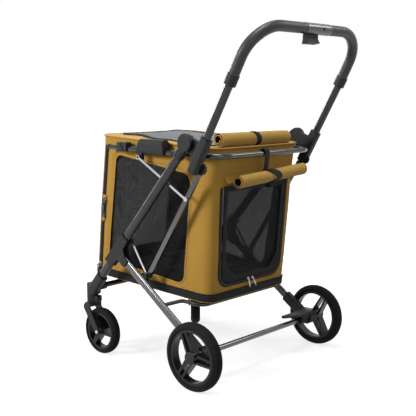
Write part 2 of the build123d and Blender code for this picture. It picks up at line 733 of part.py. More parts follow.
def door_outline(grow):
    """The doorway seen from behind, square at the top and round at the bottom."""
    wide, low, high = door_half_width + grow, door_low - grow, door_high + grow
    face = make_face(Polyline((-wide, 0, high), (wide, 0, high), (wide, 0, low), (-wide, 0, low), close=True))
    face = fillet(face.vertices().group_by(Axis.Z)[0], door_corner + grow)
    return Pos(0, middle_y, 0) * extrude(face, reach, dir=(0, 1, 0))


save("cabin_rear", (walls & rear_half) - door_outline(door_gap))


def rear_slab(from_face, to_face, low, high, half):
    """A flat piece parallel to the rear wall, measured outwards from its outer face."""
    return plate(-half, half, [
        (rear_line(low) + from_face, low), (rear_line(low) + to_face, low),
        (rear_line(high) + to_face, high), (rear_line(high) + from_face, high)])


hinge_half = door_half_width - 8.0
hinge_z = door_high + 5.0
hinge_y = rear_line(hinge_z) + body_clearance + hinge_bead
door_proud = 1.0
door = rear_slab(door_proud - door_thickness, door_proud, door_low - 1, door_high + 1, reach)
door &= door_outline(0.0)
door += rear_slab(body_clearance, body_clearance + 2.2, door_high - 12, hinge_z, hinge_half)
door += rod(-hinge_half, hinge_half, (hinge_y, hinge_z), hinge_bead)
save("rear_door", door)

# zip pulls: they meet at the middle of the door's lower edge
pull = Pos(11.0, rear_line(door_low + 17) + door_proud + 1.6, door_low + 4) * Rot(0, 12, 0) * Box(7, 2.6, 26)
save("zip_pulls", both(pull))

cushion_gap = 0.3
cushion = cabin_block(panel + cushion_gap) & layer(panel, reach / 4)
cushion -= layer(panel + cushion_thickness, reach / 4)
save("floor_cushion", fillet(cushion.edges().group_by(Axis.Z)[-1], 6))

hem_block = cabin_block(-hem_thickness) & layer(0, -reach / 4)
hem = (hem_block - layer(hem_height, reach / 4)) - cabin_block(0.0)
save("cabin_hem", hem)

# rolled covers: one hangs behind the rear wall from the rail, one lies across the roof
rear_roll_at = (200.0, 592.0)
rear_roll_from, rear_roll_to = -172.0, 147.0
rear_roll_tilt = 1.8
roof_roll_y = 138.0
roof_roll_half = 166.0
strap_thickness = 1.6
strap_width = 24.0
rear_hanger_x, rear_loop_x = 18.0, 2.0


def roll_shape(length, radius):
    roll = Rot(0, 90, 0) * Cylinder(radius, length)
    return fillet(roll.edges().filter_by(GeomType.CIRCLE), 5)


def ring_strap(radius):
    ring = Rot(0, 90, 0) * (Cylinder(radius + strap_thickness, strap_width) - Cylinder(radius, strap_width))
    return ring


rear_place = Pos((rear_roll_from + rear_roll_to) / 2, *rear_roll_at) * Rot(0, rear_roll_tilt, 0)
roof_roll_z = top_line(roof_roll_y) + roll_radius + strap_thickness + 0.4
roof_place = Pos(0, roof_roll_y, roof_roll_z)
save("rear_roll", rear_place * roll_shape(rear_roll_to - rear_roll_from, roll_radius))
save("roof_roll", roof_place * roll_shape(2 * roof_roll_half, roll_radius))

strap_gap = 0.3
roof_loop = roof_place * ring_strap(roll_radius + strap_gap)
rear_middle = (rear_roll_from + rear_roll_to) / 2
rear_loop = rear_place * Pos(rear_loop_x - rear_middle, 0, 0) * ring_strap(roll_radius + strap_gap)
web_low = rear_roll_at[1] + roll_radius - 6
web_high = rail_height(rail_rear_y) - rail_radius - 0.2
hanger_at = Pos(rear_hanger_x, rail_rear_y, (web_low + web_high) / 2)
hanger = hanger_at * Box(strap_width, strap_thickness, web_high - web_low)
hanger -= rear_place * Rot(0, 90, 0) * Cylinder(roll_radius + strap_gap, 2 * reach)
save("roll_straps", Compound(children=[roof_loop, *(rear_loop + hanger).solids()]))
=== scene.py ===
# %% [markdown]
# # Pet stroller
# The stroller is a folding black frame on four wheels that carries a soft cabin. The metal and plastic
# parts come ready-made as the frame. This script gives them their finishes, and builds every
# soft part again as sewn cloth: the cabin walls with their net windows, the zips, the rolled covers
# and the cushion.

# %% Load the frame
import json
import math

import bmesh
import bpy
import numpy as np
from mathutils import Matrix, Vector, noise
from mathutils.geometry import delaunay_2d_cdt


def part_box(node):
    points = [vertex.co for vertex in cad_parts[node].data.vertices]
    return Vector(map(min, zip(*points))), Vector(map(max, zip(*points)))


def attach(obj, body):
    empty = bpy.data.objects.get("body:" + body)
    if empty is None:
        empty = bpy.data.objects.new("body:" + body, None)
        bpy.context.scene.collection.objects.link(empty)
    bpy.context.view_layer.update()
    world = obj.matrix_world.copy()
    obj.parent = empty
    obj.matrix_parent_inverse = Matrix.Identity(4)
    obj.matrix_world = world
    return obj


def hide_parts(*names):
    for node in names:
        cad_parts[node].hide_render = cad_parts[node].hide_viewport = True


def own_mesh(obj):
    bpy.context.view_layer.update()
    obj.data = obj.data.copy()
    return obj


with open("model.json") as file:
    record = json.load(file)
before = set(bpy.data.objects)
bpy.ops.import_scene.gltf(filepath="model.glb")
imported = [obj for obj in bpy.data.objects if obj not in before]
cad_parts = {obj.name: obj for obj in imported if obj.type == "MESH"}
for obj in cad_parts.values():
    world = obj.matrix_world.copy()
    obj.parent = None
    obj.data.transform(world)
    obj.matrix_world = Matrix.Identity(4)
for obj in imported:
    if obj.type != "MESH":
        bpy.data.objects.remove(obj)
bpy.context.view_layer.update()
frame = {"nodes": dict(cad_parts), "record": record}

nodes = frame["nodes"]

# %% [markdown]
# ## The stage
# A studio has a white floor that runs away without an edge. Round lamps stand about it: a strong one
# lights the side, a high one the roof, and four weaker ones open the shadows and draw a bright edge along
# each black tube. Where the background is seen, the floor glows as well, so it comes out white. It glows
# less near the stroller, which leaves the shadow under the wheels.

# %% Camera
def new_object(name, data):
    """An object in the scene that holds the data."""
    made = bpy.data.objects.new(name, data)
    bpy.context.scene.collection.objects.link(made)
    return made


def look_from(made, place, target):
    """Stands an object at a place and turns it to face a target."""
    made.location = place
    aim = target - made.location
    made.rotation_euler = aim.to_track_quat("-Z", "Y").to_euler()
    return aim.length


camera_data = bpy.data.cameras.new("camera")
camera_data.lens = 70.36
camera_data.sensor_width = 36.0
camera_data.clip_end = 60.0
camera = new_object("camera", camera_data)
distance = look_from(camera, (1.9289, 1.6833, 0.8423), Vector((0.0, -0.0477, 0.4737)))
bpy.context.scene.camera = camera
bpy.context.scene.view_settings.view_transform = "Standard"
print("camera to target", round(distance, 3), "m")


# %% Node helpers
def material(name):
    """A new material with an empty tree that holds one Principled shader and an output."""
    made = bpy.data.materials.new(name)
    made.use_nodes = True
    tree = made.node_tree
    tree.nodes.clear()
    shader = tree.nodes.new("ShaderNodeBsdfPrincipled")
    output = tree.nodes.new("ShaderNodeOutputMaterial")
    tree.links.new(shader.outputs["BSDF"], output.inputs["Surface"])
    return made, tree, shader


def node(tree, kind, **values):
    """A node with attributes set by name and input values set by their socket's index or name."""
    made = tree.nodes.new("ShaderNode" + kind)
    sockets = values.pop("sockets", {})
    for key, value in values.items():
        setattr(made, key, value)
    for key, value in sockets.items():
        made.inputs[key].default_value = value
    return made


def settle(made, **values):
    """The node with input values set by their socket's name, an underscore for each space."""
    for key, value in values.items():
        made.inputs[key.replace("_", " ")].default_value = value
    return made


def link(tree, source, target):
    tree.links.new(source, target)


def math_node(tree, operation, a, b=None, clamp=False):
    """A Math node fed by sockets or plain numbers."""
    made = node(tree, "Math", operation=operation, use_clamp=clamp)
    for index, value in enumerate((a, b)):
        if value is None:
            continue
        if isinstance(value, (int, float)):
            made.inputs[index].default_value = value
        else:
            link(tree, value, made.inputs[index])
    return made.outputs[0]


def times(tree, a, b):
    return math_node(tree, "MULTIPLY", a, b)


def plus(tree, a, b, clamp=False):
    return math_node(tree, "ADD", a, b, clamp)


def minus(tree, a, b, clamp=False):
    return math_node(tree, "SUBTRACT", a, b, clamp)


def mix_colour(tree, factor, a, b):
    """A colour between two, each a socket, a number or a tuple."""
    made = node(tree, "Mix", data_type="RGBA")
    for index, value in ((0, factor), (6, a), (7, b)):
        if isinstance(value, (int, float)):
            made.inputs[index].default_value = value
        elif isinstance(value, tuple):
            made.inputs[index].default_value = (*value, 1.0) if len(value) == 3 else value
        else:
            link(tree, value, made.inputs[index])
    return made.outputs[2]


def group(name, inputs, outputs):
    """A shader node group with named number inputs and outputs, and its two end nodes."""
    tree = bpy.data.node_groups.new(name, "ShaderNodeTree")
    for title, value in inputs.items():
        socket = tree.interface.new_socket(title, in_out="INPUT", socket_type="NodeSocketFloat")
        socket.default_value = value
    for title in outputs:
        tree.interface.new_socket(title, in_out="OUTPUT", socket_type="NodeSocketFloat")
    return tree, tree.nodes.new("NodeGroupInput"), tree.nodes.new("NodeGroupOutput")


def use_group(tree, made, **values):
    return settle(node(tree, "Group", node_tree=made), **values)


def emboss(tree, shader, height, strength, distance):
    """Turns a height into the shader's normal."""
    bumped = node(tree, "Bump", sockets={"Strength": strength, "Distance": distance})
    link(tree, height, bumped.inputs["Height"])
    link(tree, bumped.outputs[0], shader.inputs["Normal"])


print("materials so far", len(bpy.data.materials))

# %% Floor, lamps and world
white = (1, 1, 1, 1)
sky_light, shadow_depth, shadow_reach = 0.13, 0.3, 1.5
lamp_aim = Vector((0, 0, 0.45))


def background_rays(tree):
    """1 for the rays that show the background: to the camera, in a gloss, or through a clear thing."""
    path = node(tree, "LightPath")
    gloss = math_node(tree, "MAXIMUM", path.outputs["Is Glossy Ray"], path.outputs["Is Transmission Ray"])
    return math_node(tree, "MAXIMUM", path.outputs["Is Camera Ray"], gloss)


def white_floor(reach=30.0):
    """A floor that glows where it is seen as background, and less near the stroller."""
    floor_mesh = bpy.data.meshes.new("studio_floor")
    corners = [(-reach, -reach, 0), (reach, -reach, 0), (reach, reach, 0), (-reach, reach, 0)]
    floor_mesh.from_pydata(corners, [], [(0, 1, 2, 3)])
    floor = new_object("studio_floor", floor_mesh)
    paint, tree, shader = material("studio_floor")
    settle(shader, Base_Color=(0.32, 0.32, 0.32, 1), Roughness=0.9, Emission_Color=white)
    away = node(tree, "VectorMath", operation="LENGTH")
    link(tree, node(tree, "TexCoord").outputs["Object"], away.inputs[0])
    near = node(tree, "MapRange", interpolation_type="SMOOTHSTEP",
                sockets={"From Max": shadow_reach, "To Min": 1.0 - shadow_depth, "To Max": 1.0})
    link(tree, away.outputs["Value"], near.inputs["Value"])
    link(tree, times(tree, background_rays(tree), near.outputs[0]), shader.inputs["Emission Strength"])
    floor_mesh.materials.append(paint)


def disc_lamps():
    """Round lamps, each with its place, its size in metres and its power in watts."""
    lamps = (("key", (3.6, -1.3, 2.1), 1.1, 156.0), ("fill", (2.0, 4.0, 1.7), 2.2, 33.0),
             ("front", (-0.6, -3.6, 1.7), 0.8, 45.0), ("low", (1.5, -3.6, 0.9), 0.6, 16.0),
             ("rim", (-2.6, 1.6, 2.8), 1.0, 26.0), ("top", (0.3, 0.4, 3.4), 1.4, 68.0))
    for name, place, size, power in lamps:
        lamp_data = bpy.data.lights.new(name, "AREA")
        lamp_data.shape = "DISK"
        lamp_data.size = size
        lamp_data.energy = power
        look_from(new_object(name, lamp_data), place, lamp_aim)
    print("lamps", len(lamps))


def white_world():
    """A world that is white where it is seen as background, and a weak even light otherwise."""
    world = bpy.data.worlds.new("studio_world")
    world.use_nodes = True
    bpy.context.scene.world = world
    sky = world.node_tree
    background = sky.nodes["Background"]
    strength = plus(sky, times(sky, background_rays(sky), 1.0 - sky_light), sky_light)
    link(sky, strength, background.inputs["Strength"])
    settle(background, Color=white)


white_floor()
disc_lamps()
white_world()

# %% [markdown]
# ## Shared surface effects
# Real finishes are never one flat colour. Three effects are used over and over, so each is a node group:
# a woven cloth, the fine sandy grain of moulded plastic, and the faint scuffs and dust
# that any used surface has. Each gives only masks and heights. The shader stays in the material.

# %% Weave, grain and scuff groups
def thread_wave(tree, place, pitch, turn):
    """A sine along a UV, which turns through the given angle from one thread to the next."""
    return math_node(tree, "SINE", times(tree, math_node(tree, "DIVIDE", place, pitch), turn))


def make_weave():
    """Plain weave on UVs in metres: threads go over and under in turn."""
    tree, start, end = group("woven_cloth", {"Thread": 0.0012, "Slub": 0.25}, ["Height", "Shade"])
    uv = node(tree, "TexCoord").outputs["UV"]
    split = node(tree, "SeparateXYZ")
    link(tree, uv, split.inputs[0])
    waves = [thread_wave(tree, split.outputs[axis], start.outputs["Thread"], math.pi) for axis in (0, 1)]
    warp, weft = [math_node(tree, "ABSOLUTE", wave) for wave in waves]
    over = times(tree, *waves)
    height = plus(tree, times(tree, warp, weft), times(tree, over, 0.5))
    streaks = node(tree, "TexNoise", noise_dimensions="3D", sockets={"Scale": 38.0, "Detail": 4.0})
    stretch = node(tree, "Mapping", sockets={"Scale": (1.0, 9.0, 1.0)})
    link(tree, uv, stretch.inputs["Vector"])
    link(tree, stretch.outputs[0], streaks.inputs["Vector"])
    link(tree, height, end.inputs["Height"])
    slub = times(tree, minus(tree, streaks.outputs["Fac"], 0.5), start.outputs["Slub"])
    # Shade: painted shade, darker where the threads lie low between the crossings, plus slub streaks of real
    # tone
    link(tree, plus(tree, times(tree, height, 0.12), plus(tree, slub, 0.9)), end.inputs["Shade"])
    return tree


def make_grain():
    """Fine sandy grain in object space, for moulded plastic, paint and rubber."""
    tree, start, end = group("moulded_grain", {"Scale": 1400.0}, ["Height", "Mask"])
    place = node(tree, "TexCoord").outputs["Object"]
    fine = node(tree, "TexNoise", sockets={"Detail": 2.0, "Roughness": 0.6})
    link(tree, place, fine.inputs["Vector"])
    link(tree, start.outputs["Scale"], fine.inputs["Scale"])
    broad = node(tree, "TexNoise", sockets={"Scale": 16.0, "Detail": 5.0})
    link(tree, place, broad.inputs["Vector"])
    link(tree, fine.outputs["Fac"], end.inputs["Height"])
    link(tree, broad.outputs["Fac"], end.inputs["Mask"])
    return tree


def make_scuff():
    """Sparse fine scratches and soft dust, from 0 to 1."""
    tree, start, end = group("scuff", {"Amount": 0.5}, ["Scratch", "Dust"])
    place = node(tree, "TexCoord").outputs["Object"]
    stretch = node(tree, "Mapping", sockets={"Scale": (260.0, 260.0, 14.0), "Rotation": (0.5, 0.3, 0.2)})
    link(tree, place, stretch.inputs["Vector"])
    lines = node(tree, "TexNoise", sockets={"Scale": 1.0, "Detail": 3.0})
    link(tree, stretch.outputs[0], lines.inputs["Vector"])
    sparse = node(tree, "MapRange", sockets={"From Min": 0.66, "From Max": 0.78})
    link(tree, lines.outputs["Fac"], sparse.inputs["Value"])
    link(tree, times(tree, sparse.outputs[0], start.outputs["Amount"]), end.inputs["Scratch"])
    cloud = node(tree, "TexNoise", sockets={"Scale": 9.0, "Detail": 8.0, "Roughness": 0.65})
    link(tree, place, cloud.inputs["Vector"])
    soft = node(tree, "MapRange", sockets={"From Min": 0.42, "From Max": 0.75})
    link(tree, cloud.outputs["Fac"], soft.inputs["Value"])
    link(tree, times(tree, soft.outputs[0], start.outputs["Amount"]), end.inputs["Dust"])
    return tree


weave_group, grain_group, scuff_group = make_weave(), make_grain(), make_scuff()
print("groups", [g.name for g in bpy.data.node_groups])


# %% [markdown]
# ## Hard finishes
# The frame is mostly black on black, and what tells the parts apart is gloss: satin paint on the front tubes,
# a deep shine on the seat rail and the rear legs, dry moulded nylon at the joints, polished plastic on the
# latch. The stays and braces are left as bare steel.

# %% A hard finish
def hard_finish(name, colour, roughness, bump=0.1, scale=1400.0, coat=0.0, metallic=0.0, wear=0.3, gloss=0.2):
    """A hard surface: grain in the normal, clouds in the roughness, scratches and dust in the colour."""
    made, tree, shader = material(name)
    grain = use_group(tree, grain_group, Scale=scale)
    scuff = use_group(tree, scuff_group, Amount=wear)
    light = tuple(min(1.0, c * 1.8 + 0.006) for c in colour)
    worn = mix_colour(tree, times(tree, scuff.outputs["Scratch"], 0.5), colour, light)
    dusty = mix_colour(tree, times(tree, scuff.outputs["Dust"], 0.18), worn, light)
    link(tree, dusty, shader.inputs["Base Color"])
    spread = times(tree, minus(tree, grain.outputs["Mask"], 0.5), 0.22)
    rough = plus(tree, spread, roughness)
    rough = plus(tree, rough, times(tree, scuff.outputs["Dust"], 0.1), clamp=True)
    link(tree, rough, shader.inputs["Roughness"])
    emboss(tree, shader, grain.outputs["Height"], bump, 0.0004)
    settle(shader, Metallic=metallic, Specular_IOR_Level=gloss, Coat_Weight=coat, Coat_Roughness=0.12)
    return made


print("groups in use", grain_group.name, scuff_group.name)

# %% The frame's paints, plastics and metals
finishes = {
    "matt_black_tube": hard_finish("satin_frame_paint", (0.006, 0.0063, 0.0066), 0.24,
                                   bump=0.03, coat=0.12, gloss=0.32),
    "black_moulding": hard_finish("moulded_nylon", (0.0075, 0.0078, 0.008), 0.44, bump=0.2, scale=1100.0),
    "steel": hard_finish("zinc_steel", (0.55, 0.55, 0.56), 0.3, metallic=1.0, gloss=0.5),
    "gloss_black_tube": hard_finish("gloss_rail_paint", (0.004, 0.004, 0.005), 0.16,
                                    bump=0.02, coat=0.6, wear=0.2),
    "tyre": hard_finish("foam_rubber", (0.008, 0.008, 0.008), 0.72,
                        bump=0.35, scale=900.0, wear=0.5, gloss=0.08),
    "rim": hard_finish("rim_plastic", (0.006, 0.006, 0.0065), 0.34, bump=0.08, coat=0.1),
    "gloss_moulding": hard_finish("polished_plastic", (0.008, 0.008, 0.009), 0.34,
                                  bump=0.03, coat=0.35, wear=0.2, gloss=0.5),
    "pull_metal": hard_finish("bright_zinc", (0.42, 0.42, 0.41), 0.3, metallic=1.0, gloss=0.5),
}


def dress(finish, *names):
    """Gives a finish to the frame's nodes."""
    for name in names:
        nodes[name].data.materials.clear()
        nodes[name].data.materials.append(finish)


for entry in frame["record"]["subparts"]:
    if entry["material_slot"] in finishes:
        dress(finishes[entry["material_slot"]], entry["node"])
dress(hard_finish("drawn_steel", (0.42, 0.42, 0.43), 0.22, bump=0.03, metallic=1.0, gloss=0.5),
      "leg_stays", "rail_braces")
dress(hard_finish("gloss_leg_paint", (0.0045, 0.0047, 0.005), 0.15, bump=0.02, coat=0.9, gloss=0.5),
      "rear_leg_left", "rear_leg_right", "rear_cross_tube", "link_tube_left", "link_tube_right")
dress(hard_finish("trigger_plastic", (0.006, 0.006, 0.0065), 0.6, bump=0.06, wear=0.1), "fold_trigger")
print("hard finishes", len(finishes) + 3)

# %% [markdown]
# ## Soft finishes
# Cloth is told apart by its threads. The ochre cover is a dense plain weave, webbing has thick ribs across it,
# the windows are an open net that lets a part of the light through, and the grips are grained like leather.
# The threads come from UVs in metres, so they keep their size on every piece.

# %% Open net and ribbed webbing groups
def make_net():
    """An open net on UVs in metres: Cover is 1 on a thread and Haze in a hole, Wave runs slowly over it."""
    inputs = {"Pitch": 0.0016, "Hole": 0.4, "Haze": 0.6}
    tree, start, end = group("open_net", inputs, ["Cover", "Height", "Wave"])
    uv = node(tree, "TexCoord").outputs["UV"]
    split = node(tree, "SeparateXYZ")
    link(tree, uv, split.inputs[0])
    waves = [thread_wave(tree, split.outputs[axis], start.outputs["Pitch"], math.pi) for axis in (0, 1)]
    open_part = times(tree, *[math_node(tree, "ABSOLUTE", wave) for wave in waves])
    wave = node(tree, "TexWave", wave_type="BANDS", bands_direction="Y",
                sockets={"Scale": 58.0, "Distortion": 3.4, "Detail": 1.5, "Detail Scale": 0.3})
    link(tree, uv, wave.inputs["Vector"])
    hole_cover = plus(tree, start.outputs["Haze"], times(tree, minus(tree, wave.outputs["Fac"], 0.5), 0.22))
    edge = node(tree, "MapRange", interpolation_type="SMOOTHSTEP", sockets={"To Min": 1.0})
    link(tree, hole_cover, edge.inputs["To Max"])
    link(tree, open_part, edge.inputs["Value"])
    link(tree, start.outputs["Hole"], edge.inputs["From Min"])
    link(tree, plus(tree, start.outputs["Hole"], 0.12), edge.inputs["From Max"])
    link(tree, edge.outputs[0], end.inputs["Cover"])
    link(tree, edge.outputs[0], end.inputs["Height"])
    # Wave is also the mask of the painted glint that net_finish mixes into the colour
    link(tree, wave.outputs["Fac"], end.inputs["Wave"])
    return tree


def make_ribs():
    """Webbing: raised ribs across the band and a fine twill along it."""
    tree, start, end = group("ribbed_webbing", {"Rib": 0.0016}, ["Height", "Shade"])
    split = node(tree, "SeparateXYZ")
    link(tree, node(tree, "TexCoord").outputs["UV"], split.inputs[0])
    rib = thread_wave(tree, split.outputs[0], start.outputs["Rib"], 2 * math.pi)
    lean = plus(tree, split.outputs[0], split.outputs[1])
    twill = thread_wave(tree, lean, start.outputs["Rib"], 5.0 * math.pi)
    height = plus(tree, rib, times(tree, twill, 0.35))
    link(tree, height, end.inputs["Height"])
    # Shade: painted shade, lighter on the ribs and darker in the grooves between them
    link(tree, plus(tree, times(tree, height, 0.14), 0.85), end.inputs["Shade"])
    return tree


net_group, rib_group = make_net(), make_ribs()


# %% Cloth, webbing, net and leather
def tinted(tree, colour, shade, low=0.0):
    """The colour, made darker or lighter by a shade socket, which carries the painted shade of threads and
    ribs.
    """
    dark = tuple(low + c * 0.55 for c in colour)
    light = tuple(c * 1.16 for c in colour)
    spread = node(tree, "MapRange", sockets={"From Min": 0.55, "From Max": 1.2})
    link(tree, shade, spread.inputs["Value"])
    return mix_colour(tree, spread.outputs[0], dark, light)


def cloth_finish(name, colour, thread=0.0011, slub=0.2, bump=0.35, sheen=0.25, rough=0.86, dust=0.4):
    """Woven cloth: threads in the colour as painted shade between them, in the normal and the roughness, a
    soft sheen, and dust.
    """
    made, tree, shader = material(name)
    weave = use_group(tree, weave_group, Thread=thread, Slub=slub)
    scuff = use_group(tree, scuff_group, Amount=dust)
    base = tinted(tree, colour, weave.outputs["Shade"])
    pale = tuple(min(1.0, c * 1.25 + 0.01) for c in colour)
    link(tree, mix_colour(tree, times(tree, scuff.outputs["Dust"], 0.3), base, pale),
         shader.inputs["Base Color"])
    emboss(tree, shader, weave.outputs["Height"], bump, 0.0006)
    roughness = minus(tree, rough + 0.05, times(tree, weave.outputs["Height"], 0.08), clamp=True)
    link(tree, roughness, shader.inputs["Roughness"])
    settle(shader, Sheen_Weight=sheen, Sheen_Roughness=0.45, Specular_IOR_Level=0.2)
    return made


def webbing_finish(name, colour, rib=0.0016):
    """Ribbed tape: the ribs show in the colour as painted shade in the grooves, and in the normal."""
    made, tree, shader = material(name)
    ribs = use_group(tree, rib_group, Rib=rib)
    link(tree, tinted(tree, colour, ribs.outputs["Shade"], low=0.002), shader.inputs["Base Color"])
    emboss(tree, shader, ribs.outputs["Height"], 0.5, 0.0006)
    settle(shader, Roughness=0.7, Specular_IOR_Level=0.15)
    return made


def net_finish(name, colour, painted_glint, pitch=0.0012, hole=0.35, haze=0.6):
    """Net: the holes are see-through, and a painted glint, a lighter thread colour, runs over the threads in
    slow waves.
    """
    made, tree, shader = material(name)
    net = use_group(tree, net_group, Pitch=pitch, Hole=hole, Haze=haze)
    # painted glint: the Wave mask mixes the net's colour towards a lighter one, light painted into the colour
    link(tree, mix_colour(tree, net.outputs["Wave"], colour, painted_glint), shader.inputs["Base Color"])
    link(tree, net.outputs["Cover"], shader.inputs["Alpha"])
    emboss(tree, shader, net.outputs["Height"], 0.3, 0.0004)
    settle(shader, Roughness=0.6, Specular_IOR_Level=0.08)
    return made


def leather_finish():
    """Imitation leather: small rounded cells with painted shade in the creases between them."""
    made, tree, shader = material("grained_leather")
    place = node(tree, "TexCoord").outputs["Object"]
    cells = node(tree, "TexVoronoi", feature="DISTANCE_TO_EDGE", sockets={"Scale": 900.0})
    link(tree, place, cells.inputs["Vector"])
    scuff = use_group(tree, scuff_group, Amount=0.5)
    flat = node(tree, "MapRange", sockets={"From Max": 0.25})
    link(tree, cells.outputs["Distance"], flat.inputs["Value"])
    # painted shade: the creases between the cells are darker than the cell tops
    base = mix_colour(tree, flat.outputs[0], (0.004, 0.004, 0.005), (0.013, 0.0145, 0.016))
    dusty = mix_colour(tree, times(tree, scuff.outputs["Dust"], 0.2), base, (0.05, 0.05, 0.052))
    link(tree, dusty, shader.inputs["Base Color"])
    emboss(tree, shader, flat.outputs[0], 0.16, 0.0003)
    link(tree, minus(tree, 0.5, times(tree, flat.outputs[0], 0.12)), shader.inputs["Roughness"])
    settle(shader, Specular_IOR_Level=0.36)
    return made


print("groups in use", weave_group.name, rib_group.name, net_group.name)

# %% The cabin's cloths, tapes, nets and threads
ochre = cloth_finish("ochre_canvas", (0.4, 0.222, 0.036), sheen=0.08)
# painted top light: the same ochre canvas as the walls, made lighter and paler for the roof, the rolls and the
# roof cord
ochre_painted_top_light = cloth_finish("ochre_canvas_painted_top_light", (0.44, 0.262, 0.053), sheen=0.12)
lining = cloth_finish("black_lining", (0.008, 0.008, 0.0085), sheen=0.02, dust=0.2)
hem_cloth = cloth_finish("black_hem_cloth", (0.011, 0.0115, 0.012), thread=0.0015, sheen=0.05)
binding_cloth = webbing_finish("black_binding", (0.009, 0.009, 0.0095), rib=0.0011)
webbing = webbing_finish("black_webbing", (0.009, 0.009, 0.01))
# each net's second colour is its painted glint
window_net = net_finish("window_net", (0.002, 0.002, 0.0022), (0.005, 0.005, 0.0054), haze=0.7)
roof_net = net_finish("roof_net", (0.12, 0.133, 0.138), (0.23, 0.25, 0.26), pitch=0.0022, hole=0.7, haze=0.4)
door_net = net_finish("door_net", (0.004, 0.004, 0.0045), (0.007, 0.007, 0.0075), pitch=0.0011, haze=0.66)
ochre_thread = cloth_finish("ochre_thread", (0.36, 0.2, 0.05), thread=0.0004, sheen=0.4)
black_thread = cloth_finish("black_thread", (0.02, 0.02, 0.02), thread=0.0004)
pad_cloth = cloth_finish("grey_pad_cloth", (0.05, 0.05, 0.055), thread=0.0014, sheen=0.4)
zip_teeth_nylon = hard_finish("zip_teeth_nylon", (0.01, 0.01, 0.011), 0.3, bump=0.05, coat=0.4)
dress(leather_finish(), "grip_cover")
print("soft finishes", len([m for m in bpy.data.materials if m.use_nodes]))

# %% [markdown]
# ## The cabin as a flat pattern
# A sewn box is cut from flat cloth, so the walls are laid out flat here too: p runs round the cabin in
# metres and h runs up it. One function wraps a flat point onto the real walls, which lean and
# have round corners. Windows, tapes, zips and stitches are then drawn on the flat pattern and wrapped
# the same way, and always meet the cloth they are sewn to.

# %% The walls' corners, read from the frame
def side_corner(name, forward, up):
    """The point of a node's side view that lies furthest towards (forward, up), as (y, z)."""
    points = np.array([(v.co.y, v.co.z) for v in nodes[name].data.vertices])
    return points[np.argmax(points @ np.array((forward, up)))]


front_low, rear_low = side_corner("cabin_floor", -1, -1), side_corner("cabin_floor", 1, -1)
front_top, rear_top = side_corner("cabin_roof", -1, 1), side_corner("cabin_roof", 1, 1)
half_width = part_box("cabin_floor")[1].x
side_low, side_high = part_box("cabin_side_left")
corner = side_high.x - side_low.x
arc = math.pi / 2 * corner
across = 2 * (half_width - corner)
straight = (rear_low[0] - front_low[0] + rear_top[0] - front_top[0]) / 2 - 2 * corner
wall_height = (front_top[1] - front_low[1] + rear_top[1] - rear_low[1]) / 2
stretches = [across, arc, straight, arc, across, arc, straight, arc]
perimeter = sum(stretches)
print("perimeter", round(perimeter, 3), "height", round(wall_height, 3))


def mix(a, b, share):
    return a + (b - a) * share


def level(low, high, y):
    """Height of the line from low to high at y."""
    return mix(low[1], high[1], (y - low[0]) / (high[0] - low[0]))


def floor_height(y):
    return level(front_low, rear_low, y)


def roof_height(y):
    return level(front_top, rear_top, y)


foot_tuck, foot_draw, foot_drop, foot_reach = 0.017, 0.015, 0.005, 0.008
foot_curve = 1.6
draw_fading, draw_lasting, fade_rate = 0.4, 0.6, 5


def wrap(p, h, out=0.0):
    """The point of the cabin wall at p round and h up the flat pattern, moved outwards by out.

    The cloth doesn't follow the plain box: at the foot the sides are tucked in towards the rear, the front
    reaches forward, and the rear is drawn in. A part of the draw fades all the way up, and the rest lasts
    up to the top fifth of the wall.
    """
    v = h / wall_height
    foot = (1 - max(0.0, min(1.0, v))) ** foot_curve
    top_fade = min(1.0, max(0.0, 1 - v) * fade_rate)
    front = mix(front_low[0] - foot_reach, front_top[0], v)
    rear = mix(rear_low[0], rear_top[0], v) - foot_draw * (draw_fading * foot + draw_lasting * top_fade)
    run = (rear - front - 2 * corner) / straight
    flat = half_width - corner
    p %= perimeter
    part = 0
    while p > stretches[part] and part < 7:
        p -= stretches[part]
        part += 1
    angle = math.radians(-90 + 90 * (part // 2 + (p / arc if part % 2 else 0.0)))
    if part == 0:
        x, y = p - flat, front
    elif part == 2:
        x, y = half_width, front + corner + p * run
    elif part == 4:
        x, y = flat - p, rear
    elif part == 6:
        x, y = -half_width, rear - corner - p * run
    else:
        centre_x = flat if part in (1, 3) else -flat
        centre_y = front + corner if part in (1, 7) else rear - corner
        x, y = centre_x + corner * math.cos(angle), centre_y + corner * math.sin(angle)
    rearward = (y - front) / (rear - front)
    tuck = 1 - foot_tuck / half_width * foot * rearward
    z = mix(floor_height(y), roof_height(y), v) - foot_drop * foot * rearward
    return Vector(((x + math.cos(angle) * out) * tuck, y + math.sin(angle) * out, z))


def on_left(y, z):
    """The flat point of the left wall at (y, z)."""
    v = (z - floor_height(y)) / (roof_height(y) - floor_height(y))
    front, rear = mix(front_low[0], front_top[0], v), mix(rear_low[0], rear_top[0], v)
    return (across + arc + (y - front - corner) / (rear - front - 2 * corner) * straight, v * wall_height)


def on_rear(x, z):
    """The flat point of the rear wall at (x, z)."""
    v = (z - rear_low[1]) / (rear_top[1] - rear_low[1])
    return (across * 1.5 + 2 * arc + straight - x, v * wall_height)


def on_front(x, z):
    """The flat point of the front wall at (x, z)."""
    v = (z - front_low[1]) / (front_top[1] - front_low[1])
    return (x + across / 2, v * wall_height)


def on_right(points):
    """Flat points of the left wall, moved to the right wall."""
    return [((across - p) % perimeter, h) for p, h in points]


crease_width = 0.007
creases = ((across + arc + straight + 0.008, 0.03, 0.0028),
           (across + 2 * arc + straight - 0.002, -0.02, 0.0022))


